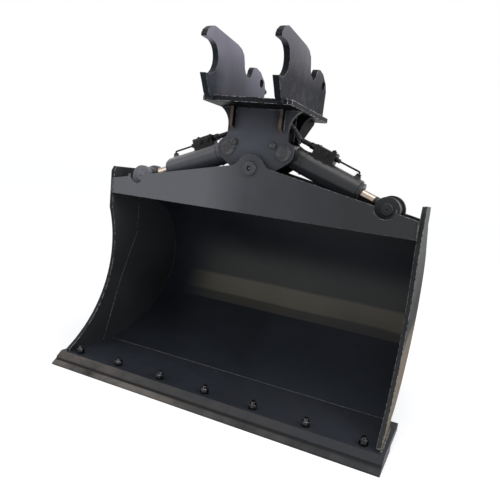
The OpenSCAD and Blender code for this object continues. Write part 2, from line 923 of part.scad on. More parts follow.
ear_run = norm([barrel_pin_x + pin_bolt_left[0], pin_bolt_left[1] - barrel_pin_z]);
module barrel_pin_left() {
  dir = atan2(pin_bolt_left[1] - barrel_pin_z, barrel_pin_x + pin_bolt_left[0]);
  color(steel)
    seat()
      difference() {
        union() {
          barrel_pin(-barrel_pin_x);
          xz_plate(tilt_front_y - pin_flange_t + pin_face, pin_flange_t - pin_face)
            translate([-barrel_pin_x, barrel_pin_z])
              rotate(dir)
                difference() {
                  union() {
                    translate([ear_run, 0])
                      circle(r = pin_ear_r);
                    translate([0, -pin_ear_r])
                      square([ear_run, 2 * pin_ear_r]);
                  }
                  circle(r = barrel_pin_d / 2 - held_fit);
                }
        }
        translate([pin_bolt_left[0], 0, pin_bolt_left[1]])
          y_bar(0, tilt_front_y + cut_over, pin_bolt_d / 2 + held_fit);
      }
}

// The round flange is cut back where its bolt head holds it
bolt_head_r = 14;
bolt_head_h = 13;
module barrel_pin_right() {
  color(steel)
    seat()
      difference() {
        barrel_pin(barrel_pin_x);
        translate([pin_bolt_right[0], 0, pin_bolt_right[1]])
          y_bar(0, tilt_front_y + cut_over, bolt_head_r + seat_gap);
      }
}

module barrel_pin_bolts() {
  ear_y = tilt_front_y - pin_flange_t + pin_face;
  color(zinc)
    seat() {
      translate([pin_bolt_left[0], 0, pin_bolt_left[1]]) {
        y_bar(ear_y, tilt_front_y + tilt_t, pin_bolt_d / 2);
        y_bar(ear_y - bolt_head_h / 2, ear_y, bolt_head_r);
      }
      translate([pin_bolt_right[0], 0, pin_bolt_right[1]]) {
        y_bar(tilt_front_y, tilt_front_y + tilt_t, pin_bolt_d / 2);
        y_bar(tilt_front_y - bolt_head_h, tilt_front_y, bolt_head_r);
      }
    }
}

// Cylinders lie between the tilt plates; local X runs along the cylinder from its base pin
cyl_drop = barrel_pin_z + rod_pin_drop;
cyl_run = rod_pin_x - barrel_pin_x;
cyl_lean = atan2(cyl_drop, cyl_run);
cyl_len = norm([cyl_drop, cyl_run]);
barrel_len = cyl_len - rod_out;
module on_cylinder() {
  translate([barrel_pin_x, mid_y, barrel_pin_z])
    rotate([0, cyl_lean, 0])
      children();
}

base_eye_r = 46;
base_eye_gap = 8;
base_eye_w = tilt_rear_y - tilt_front_y - tilt_t - 2 * base_eye_gap;
base_cap_start = 30;
base_cap_end = 75;
port_inset = 31;
port_s = barrel_len - port_inset;
port_r = 13;
port_h = 8;
module barrel_right() {
  color(paint_dark)
    seat()
      on_cylinder()
        difference() {
          union() {
            y_bar(-base_eye_w / 2, base_eye_w / 2, base_eye_r);
            x_bar(base_cap_start, barrel_len, barrel_d / 2);
            translate([port_s, 0, 0])
              cylinder(h = barrel_d / 2 + port_h, r = port_r);
          }
          y_bar(-base_eye_w, base_eye_w, barrel_pin_d / 2 + run_fit);
          x_bar(base_cap_end, barrel_len + cut_over, bore_d / 2);
        }
}

gland_len = 60;
gland_out = 15;
gland_d = 88;
gland_s = barrel_len + gland_out - gland_len;
wiper_t = 4;
wiper_r = rod_d / 2 + wiper_t;
module gland_right() {
  color(steel)
    seat()
      on_cylinder()
        difference() {
          union() {
            x_bar(barrel_len, barrel_len + gland_out, gland_d / 2);
            x_bar(gland_s, barrel_len, bore_d / 2 - held_fit);
          }
          x_bar(barrel_len - gland_len, barrel_len + gland_out + cut_over, rod_d / 2 + run_fit);
          x_bar(barrel_len + gland_out - wiper_t, barrel_len + gland_out + cut_over, wiper_r);
        }
}

module rod_wiper_right() {
  color(rubber)
    seat()
      on_cylinder()
        difference() {
          x_bar(barrel_len + gland_out - wiper_t, barrel_len + gland_out + wiper_t / 2, wiper_r - held_fit);
          x_bar(barrel_len, barrel_len + gland_out + gland_len, rod_d / 2 + run_fit);
        }
}

piston_w = 42;
piston_place_share = 0.578; // of the piston's travel at rest
piston_s = base_cap_end + piston_place_share * (gland_s - base_cap_end - piston_w);
rod_eye_r = 46;
rod_spigot_share = 0.7;
rod_spigot_d = rod_d * rod_spigot_share;
module rod_right() {
  color(chrome)
    seat()
      on_cylinder()
        difference() {
          union() {
            x_bar(piston_s + piston_w, cyl_len - rod_eye_r / 2, rod_d / 2);
            x_bar(piston_s, piston_s + piston_w, rod_spigot_d / 2);
            translate([cyl_len, 0, 0])
              y_bar(-eye_w / 2, eye_w / 2, rod_eye_r);
          }
          translate([cyl_len, 0, 0])
            y_bar(-eye_w, eye_w, rod_pin_d / 2 + held_fit);
        }
}

module piston_right() {
  color(steel)
    seat()
      on_cylinder()
        difference() {
          x_bar(piston_s, piston_s + piston_w, bore_d / 2 - run_fit);
          x_bar(0, cyl_len, rod_spigot_d / 2 + held_fit);
        }
}

module eye_core_right() {
  color(steel)
    seat()
      on_cylinder()
        translate([cyl_len, 0, 0])
          y_bar(-eye_w / 2, eye_w / 2, rod_pin_d / 2);
}

// Valve block on top of the barrel with its fittings, and the steel tube to the rod-side port
block_start_share = 0.2746; // of the barrel, as the length is
block_len_share = 0.2925;
block_s = barrel_len * block_start_share;
block_len = barrel_len * block_len_share;
block_w = 56;
block_top = 94;
line_h = 74;
module valve_block_right() {
  color(paint_dark)
    seat()
      on_cylinder()
        difference() {
          translate([block_s, -block_w / 2, 0])
            cube([block_len, block_w, block_top]);
          x_bar(0, barrel_len, barrel_d / 2);
        }
}

ferrule_s = 20;
ferrule_len_share = 0.639; // of the way to the block
ferrule_len = (block_s - ferrule_s) * ferrule_len_share;
ferrule_r = 11;
hose_nut_across = 27;
hose_h = 78;
plug_across = 22;
plug_len = 9;
plug_shares = [0.204, 0.592]; // of the block's length, as the cartridge is
cartridge_share = 0.796;
cartridge_len = 12;
tube_r = 4;
tube_nut_across = 19;
tube_nut_len = 20;
tube_bend_r = 8;
module valve_fittings_right() {
  color(zinc)
    seat()
      on_cylinder() {
        // ferrule and union nut of the hose
        translate([0, 0, hose_h]) {
          x_bar(ferrule_s, ferrule_s + ferrule_len, ferrule_r);
          hex_x(ferrule_s + ferrule_len, block_s, hose_nut_across);
        }
        // plugs in the front face
        for (share = plug_shares)
          translate([block_s + share * block_len, 0, line_h])
            hex_y(-block_w / 2 - plug_len, -block_w / 2, plug_across);
        // relief cartridge in the top
        translate([block_s + cartridge_share * block_len, 0, block_top])
          cylinder(h = cartridge_len, r = plug_across / 2, $fn = 6);
        // tube nut at the outer end
        translate([0, 0, line_h])
          difference() {
            hex_x(block_s + block_len, block_s + block_len + tube_nut_len, tube_nut_across);
            x_bar(block_s + block_len, port_s, tube_r + held_fit);
          }
        // tube nut on the rod-side port
        translate([port_s, 0, barrel_d / 2 + port_h])
          difference() {
            cylinder(h = port_h, r = tube_nut_across / sqrt(3), $fn = 6);
            cylinder(h = port_h + cut_over, r = tube_r + held_fit);
          }
      }
}

module oil_tube_right() {
  low = barrel_d / 2 + port_h;
  bend_h = line_h - tube_bend_r;
  color(steel)
    seat()
      on_cylinder() {
        translate([0, 0, line_h])
          x_bar(block_s + block_len, port_s - tube_bend_r, tube_r);
        translate([port_s - tube_bend_r, 0, bend_h])
          rotate([90, 0, 0])
            rotate_extrude(angle = 90)
              translate([tube_bend_r, 0])
                circle(r = tube_r, $fn = 24);
        translate([port_s, 0, low])
          cylinder(h = bend_h - low, r = tube_r);
      }
}

module barrel_left() {
  mirror([1, 0, 0])
    barrel_right();
}

module gland_left() {
  mirror([1, 0, 0])
    gland_right();
}

module rod_wiper_left() {
  mirror([1, 0, 0])
    rod_wiper_right();
}

module valve_block_left() {
  mirror([1, 0, 0])
    valve_block_right();
}

module valve_fittings_left() {
  mirror([1, 0, 0])
    valve_fittings_right();
}

module oil_tube_left() {
  mirror([1, 0, 0])
    oil_tube_right();
}

module rod_left() {
  mirror([1, 0, 0])
    rod_right();
}

module piston_left() {
  mirror([1, 0, 0])
    piston_right();
}

module eye_core_left() {
  mirror([1, 0, 0])
    eye_core_right();
}

// Hoses run from elbows under the hitch plate, through the web holes, to the valve blocks
hose_r = 7;
hose_sides = 10;
hose_end_s = ferrule_s - seat_gap;
hose_end = [
  barrel_pin_x + hose_end_s * cos(cyl_lean) + hose_h * sin(cyl_lean),
  barrel_pin_z - hose_end_s * sin(cyl_lean) + hose_h * cos(cyl_lean)
];
hose_start_x = 78;
hose_start_z = 212;
hose_route = [
  [hose_start_x, hose_start_z], [87, 212], [97, 210], [107, 206], [117, 200],
  [127, 192], [136, 183], [144, 174], [153, 163], [160, 155], [167, 148],
  hose_end
];
hose_count = len(hose_route);
function to_3d(p) = [p[0], mid_y, p[1]];

// Direction of the route at point i, which is square to the fittings at both ends
function route_dir(i) =
  i == 0 ? [1, 0] :
  i == hose_count - 1 ? [cos(cyl_lean), -sin(cyl_lean)] :
  let (d = hose_route[i + 1] - hose_route[i - 1]) d / norm(d);

// Smooth point between route points, for u from 0 to hose_count - 1
function route_at(u) =
  let (
    i = min(floor(u), hose_count - 2), f = u - i,
    a = hose_route[i], b = hose_route[i + 1], span = norm(b - a),
    da = route_dir(i) * span, db = route_dir(i + 1) * span
  )
  a * (2 * pow(f, 3) - 3 * pow(f, 2) + 1) + da * (pow(f, 3) - 2 * pow(f, 2) + f)
    + b * (3 * pow(f, 2) - 2 * pow(f, 3)) + db * (pow(f, 3) - pow(f, 2));
function route_dir_at(u) =
  let (i = min(floor(u), hose_count - 2), f = u - i, d = route_dir(i) * (1 - f) + route_dir(i + 1) * f)
  d / norm(d);

// Closed tube through rings of points, all with the same number of sides
module tube_mesh(rings) {
  n = len(rings[0]);
  m = len(rings);
  points = [for (ring = rings) for (p = ring) p];
  sides = [
    for (i = [0:m - 2]) for (j = [0:n - 1])
      let (a = i * n + j, b = i * n + (j + 1) % n)
      each [[a, b, a + n], [b, b + n, a + n]]
  ];
  start_cap = [for (j = [1:n - 2]) [0, j + 1, j]];
  end_cap = [for (j = [1:n - 2]) [(m - 1) * n, (m - 1) * n + j, (m - 1) * n + j + 1]];
  polyhedron(points = points, faces = concat(sides, start_cap, end_cap), convexity = 8);
}

module hose_right() {
  rings = [
    for (i = [0:hose_count - 1])
      let (c = hose_route[i], d = route_dir(i))
      [
        for (j = [0:hose_sides - 1])
          let (a = -360 * j / hose_sides)
          [c[0] - d[1] * hose_r * cos(a), mid_y + hose_r * sin(a), c[1] + d[0] * hose_r * cos(a)]
      ]
  ];
  color(rubber)
    seat()
      tube_mesh(rings);
}

module hose_left() {
  mirror([1, 0, 0])
    hose_right();
}

// Spring guard: one wire wound round the hose between the web and the ferrule
guard_wire_r = 1.3;
guard_curls = 16;
guard_rings = 8;
guard_sides = 6;
guard_start_u = 3.4;
guard_end_u = 10.7;
guard_clear = 0.9;
guard_r = hose_r + guard_wire_r + guard_clear;
guard_steps = guard_curls * guard_rings;
function guard_u(k) = guard_start_u + (guard_end_u - guard_start_u) * k / guard_steps;
function guard_turn(k) = 360 * k / guard_rings;
function guard_point(k) =
  let (u = guard_u(k), c = route_at(u), d = route_dir_at(u), a = guard_turn(k))
  [c[0] - d[1] * guard_r * cos(a), mid_y + guard_r * sin(a), c[1] + d[0] * guard_r * cos(a)];
guard_path = [for (k = [0:guard_steps]) guard_point(k)];
guard_gap = min([
  for (k = [0:guard_steps - guard_rings]) norm(guard_path[k + guard_rings] - guard_path[k])
]) - 2 * guard_wire_r;
echo(least_gap_between_guard_curls_mm = guard_gap);

function unit(v) = v / norm(v);
function guard_dir(k) =
  k == 0 ? unit(guard_path[1] - guard_path[0]) :
  k == guard_steps ? unit(guard_path[k] - guard_path[k - 1]) :
  unit(guard_path[k + 1] - guard_path[k - 1]);
function guard_out(k) =
  let (c = route_at(guard_u(k)), out = guard_path[k] - to_3d(c), d = guard_dir(k))
  unit(out - d * (out * d));
function guard_ring(k) =
  let (p = guard_path[k], d = guard_dir(k), e = guard_out(k), f = cross(d, e))
  [
    for (j = [0:guard_sides - 1])
      let (a = -360 * j / guard_sides)
      p + guard_wire_r * (e * cos(a) + f * sin(a))
  ];

module spring_guard_right() {
  first = guard_ring(0);
  last = guard_ring(guard_steps);
  run_in = [for (p = first) p - guard_dir(0) * 2 * guard_wire_r];
  run_out = [for (p = last) p + guard_dir(guard_steps) * 2 * guard_wire_r];
  color(steel)
    seat()
      tube_mesh(concat([run_in], [for (k = [0:guard_steps]) guard_ring(k)], [run_out]));
}

module spring_guard_left() {
  mirror([1, 0, 0])
    spring_guard_right();
}

// Elbows that the hoses leave
elbow_r = 9;
elbow_x = 56;
elbow_hex = 24;
module hose_elbows() {
  color(zinc)
    seat()
      both_sides()
        translate([0, mid_y, 0]) {
          translate([elbow_x, 0, hose_start_z - elbow_r])
            cylinder(h = hitch_z - hose_start_z + elbow_r, r = elbow_r);
          translate([elbow_x, 0, hitch_z - elbow_r])
            cylinder(h = elbow_r, r = elbow_hex / sqrt(3), $fn = 6);
          translate([0, 0, hose_start_z])
            x_bar(elbow_x, hose_start_x, elbow_r);
        }
}

base_edge();
bolt_on_edge();
edge_bolts();
edge_nuts();
shell_lower();
shell_upper();
side_plate_left();
side_plate_right();
side_cutter_left();
side_cutter_right();
heel_wear_bars();
beam_front_plate();
beam_rear_plate();
beam_floor();
rod_lugs_front();
rod_lugs_rear();
rod_pin_ends();
pivot_pin();
pivot_keeper();
pivot_keeper_bolt();
pivot_nipple();
tilt_front_plate();
tilt_rear_plate();
pivot_hub();
pivot_bushes();
tilt_webs();
gussets();
hitch_plate();
hook_left();
hook_right();
barrel_pin_left();
barrel_pin_right();
barrel_pin_bolts();
hook_stop_bolt();
hose_elbows();
hose_left();
hose_right();
spring_guard_left();
spring_guard_right();
barrel_left();
gland_left();
rod_wiper_left();
valve_block_left();
valve_fittings_left();
oil_tube_left();
rod_left();
piston_left();
eye_core_left();
barrel_right();
gland_right();
rod_wiper_right();
valve_block_right();
valve_fittings_right();
oil_tube_right();
rod_right();
piston_right();
eye_core_right();
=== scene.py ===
import bpy
import bmesh
import math
from mathutils import Vector, Matrix


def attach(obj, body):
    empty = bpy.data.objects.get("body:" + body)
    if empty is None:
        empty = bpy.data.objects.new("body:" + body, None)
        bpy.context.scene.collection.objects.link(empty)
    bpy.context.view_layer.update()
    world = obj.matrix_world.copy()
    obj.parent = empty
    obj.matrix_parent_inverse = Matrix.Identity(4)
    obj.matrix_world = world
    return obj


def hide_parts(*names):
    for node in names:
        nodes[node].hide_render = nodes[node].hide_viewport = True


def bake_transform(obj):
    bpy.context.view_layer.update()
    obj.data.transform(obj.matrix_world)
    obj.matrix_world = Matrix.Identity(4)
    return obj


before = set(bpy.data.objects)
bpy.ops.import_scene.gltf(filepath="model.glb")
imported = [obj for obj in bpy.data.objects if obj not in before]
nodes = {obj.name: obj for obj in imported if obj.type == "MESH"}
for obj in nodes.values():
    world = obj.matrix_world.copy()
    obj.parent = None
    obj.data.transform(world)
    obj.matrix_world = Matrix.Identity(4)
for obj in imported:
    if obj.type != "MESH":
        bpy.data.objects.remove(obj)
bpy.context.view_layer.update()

# The sketches are in millimetres from the pivot axis at the front of the beam, the frame in metres
# from the hook jaws
jawFromPivot = Vector((0, -183, 405))


def place(x, y, z):
    return (Vector((x, y, z)) - jawFromPivot) / 1000


def newObject(name, data):
    made = bpy.data.objects.new(name, data)
    bpy.context.scene.collection.objects.link(made)
    return made


# Camera, solved from the photograph's own points

cameraSettings = {
    "focalPixels": 515.0,
    "framePixels": 500,
    "sensor": 36.0,
    "spot": place(922.4, -1980.5, -30.1),
    "yaw": 23.82,
    "pitch": 8.147,
    "roll": 7.172,
}


def makeCamera(s):
    yaw, pitch, roll = (math.radians(s[k]) for k in ("yaw", "pitch", "roll"))
    ahead = Vector((-math.sin(yaw) * math.cos(pitch), math.cos(yaw) * math.cos(pitch), -math.sin(pitch)))
    level = Vector((math.cos(yaw), math.sin(yaw), 0))
    up = level.cross(ahead)
    right = math.cos(roll) * level + math.sin(roll) * up
    top = -math.sin(roll) * level + math.cos(roll) * up
    data = bpy.data.cameras.new("photoCamera")
    data.sensor_width = s["sensor"]
    data.lens = s["focalPixels"] * s["sensor"] / s["framePixels"]
    data.clip_start, data.clip_end = 0.05, 60
    cam = newObject("photoCamera", data)
    turn = Matrix((right, top, -ahead)).transposed()
    cam.matrix_world = Matrix.Translation(s["spot"]) @ turn.to_4x4()
    bpy.context.scene.camera = cam


makeCamera(cameraSettings)
print("camera placed")

# Shader nodes: short ways to place them. Their kinds are named without ShaderNode in front


def fill(tree, node, inputs):
    for key, value in inputs.items():
        if isinstance(value, bpy.types.NodeSocket):
            tree.links.new(value, node.inputs[key])
        else:
            node.inputs[key].default_value = value


def addNode(tree, kind, inputs=None, **settings):
    node = tree.nodes.new("ShaderNode" + kind)
    for key, value in settings.items():
        setattr(node, key, value)
    fill(tree, node, inputs or {})
    return node


def mathNode(tree, operation, a, b, clamp=False):
    return addNode(tree, "Math", {0: a, 1: b}, operation=operation, use_clamp=clamp).outputs[0]


def times(tree, a, b, clamp=False):
    return mathNode(tree, "MULTIPLY", a, b, clamp)


def plus(tree, a, b):
    return mathNode(tree, "ADD", a, b)


def ramp(tree, value, low, high, curve="LINEAR"):
    node = addNode(tree, "MapRange", {"Value": value, "From Min": low, "From Max": high},
                   interpolation_type=curve)
    return node.outputs["Result"]


def noise(tree, coords, scale, detail, roughness=0.5):
    node = addNode(tree, "TexNoise", {"Vector": coords, "Scale": scale, "Detail": detail,
                                                "Roughness": roughness})
    return node.outputs["Fac"]


def mixColor(tree, factor, a, b):
    a, b = (c if isinstance(c, bpy.types.NodeSocket) else (*c, 1) for c in (a, b))
    return addNode(tree, "Mix", {0: factor, 6: a, 7: b}, data_type="RGBA").outputs[2]


def pieceCoords(tree, source="Object"):
    return addNode(tree, "TexCoord").outputs[source]


# "atX" is the place along X, and "facesX" is how far a face looks that way
def along(tree, where):
    source = "Object" if where.startswith("at") else "Normal"
    return addNode(tree, "SeparateXYZ", {0: pieceCoords(tree, source)}).outputs[where[-1]]


def addBump(tree, shader, height, strength, depth, normal=None):
    bump = addNode(tree, "Bump", {"Strength": strength, "Distance": depth, "Height": height})
    if normal is not None:
        tree.links.new(normal, bump.inputs["Normal"])
    tree.links.new(bump.outputs["Normal"], shader.inputs["Normal"])


# Shader groups that several finishes share


def newGroup(name, inputs, outputs):
    group = bpy.data.node_groups.new(name, "ShaderNodeTree")
    for label, value in inputs.items():
        socket = group.interface.new_socket(name=label, in_out="INPUT", socket_type="NodeSocketFloat")
        socket.default_value = value
    for label in outputs:
        kind = "NodeSocketVector" if label == "Normal" else "NodeSocketFloat"
        group.interface.new_socket(name=label, in_out="OUTPUT", socket_type=kind)
    return group, group.nodes.new("NodeGroupInput").outputs, group.nodes.new("NodeGroupOutput")


def useGroup(tree, group, values=None):
    return addNode(tree, "Group", values, node_tree=group).outputs


# Where an edge is rubbed bright, on some pieces also a painted highlight: the rounded normal leaves the flat
# one, broken up by noise
def makeEdgeWearAndHighlight():
    tree, given, out = newGroup("edgeWearAndHighlight", {"Width": 0.003, "Break": 60.0, "Amount": 1.0}, ["Mask", "Normal"])
    rounded = addNode(tree, "Bevel", {"Radius": given["Width"]}, samples=4).outputs[0]
    flat = addNode(tree, "NewGeometry").outputs["True Normal"]
    likeness = addNode(tree, "VectorMath", {0: rounded, 1: flat}, operation="DOT_PRODUCT")
    edge = ramp(tree, likeness.outputs["Value"], 0.995, 0.86)
    patches = ramp(tree, noise(tree, pieceCoords(tree), given["Break"], 5.0), 0.42, 0.6)
    fill(tree, out, {"Mask": times(tree, times(tree, edge, patches), given["Amount"], True),
                     "Normal": rounded})
    return tree


# Sprayed paint: slow drifts of tone, finer clouds, and a skin of orange peel and grain
def makePaintSkin():
    tree, given, out = newGroup("paintSkin", {"Drift Scale": 3.0, "Grain Scale": 420.0},
                                ["Drift", "Cloud", "Height"])
    coords = pieceCoords(tree)
    grain = noise(tree, coords, given["Grain Scale"], 3.0)
    peel = addNode(tree, "TexVoronoi", {"Vector": coords, "Scale": 240.0}, feature="SMOOTH_F1")
    fill(tree, out, {"Drift": noise(tree, coords, given["Drift Scale"], 4.0, 0.55),
                     "Cloud": noise(tree, coords, 26.0, 6.0, 0.6),
                     "Height": plus(tree, times(tree, grain, 0.6), times(tree, peel.outputs["Distance"], 0.5))})
    return tree


# Dust that settles on what faces up
def makeDust():
    tree, given, out = newGroup("dust", {"Amount": 0.3}, ["Mask"])
    facing = ramp(tree, along(tree, "facesZ"), 0.2, 0.95)
    patches = ramp(tree, noise(tree, pieceCoords(tree), 14.0, 7.0, 0.65), 0.4, 0.72)
    fill(tree, out, {"Mask": times(tree, times(tree, facing, patches), given["Amount"], True)})
    return tree


# Fine marks of worked metal, and slow stains
def makeMetalMarks():
    tree, given, out = newGroup("metalMarks", {"Scale": 300.0}, ["Marks", "Stain"])
    coords = pieceCoords(tree)
    fill(tree, out, {"Marks": noise(tree, coords, given["Scale"], 2.0),
                     "Stain": noise(tree, coords, 35.0, 5.0)})
    return tree


edgeWearAndHighlight, paintSkin, dust, metalMarks = makeEdgeWearAndHighlight(), makePaintSkin(), makeDust(), makeMetalMarks()


def newMaterial(name):
    material = bpy.data.materials.new(name)
    material.use_nodes = True
    tree = material.node_tree
    return material, tree, tree.nodes["Principled BSDF"]


# Paints, each given by the values that paintValues names. Shades are other tones in places: each has its
# limits, from where it isn't to where it is full, then its tone and its share

paintDefaults = {
    "drift": 0.25, "break": 70.0, "bareMetal": 0.5, "dustColor": (0.17, 0.165, 0.155), "shades": [],
    "cloudShine": 0.24, "coat": 0.0, "coatRoughness": 0.3, "bump": 0.1, "bumpDepth": 0.0006,
}
paintValues = ("base", "roughness", "specular", "dust", "worn", "wornAndHighlightColor", "edge")
facesRight, leftSide, rightSide = ("facesX", 0.4, 0.8), ("atX", -0.4, -0.6), ("atX", 0.4, 0.6)
facesFront = ("facesY", -0.2, -0.6)


def paint(*values, **more):
    return {**paintDefaults, **dict(zip(paintValues, values)), **more}


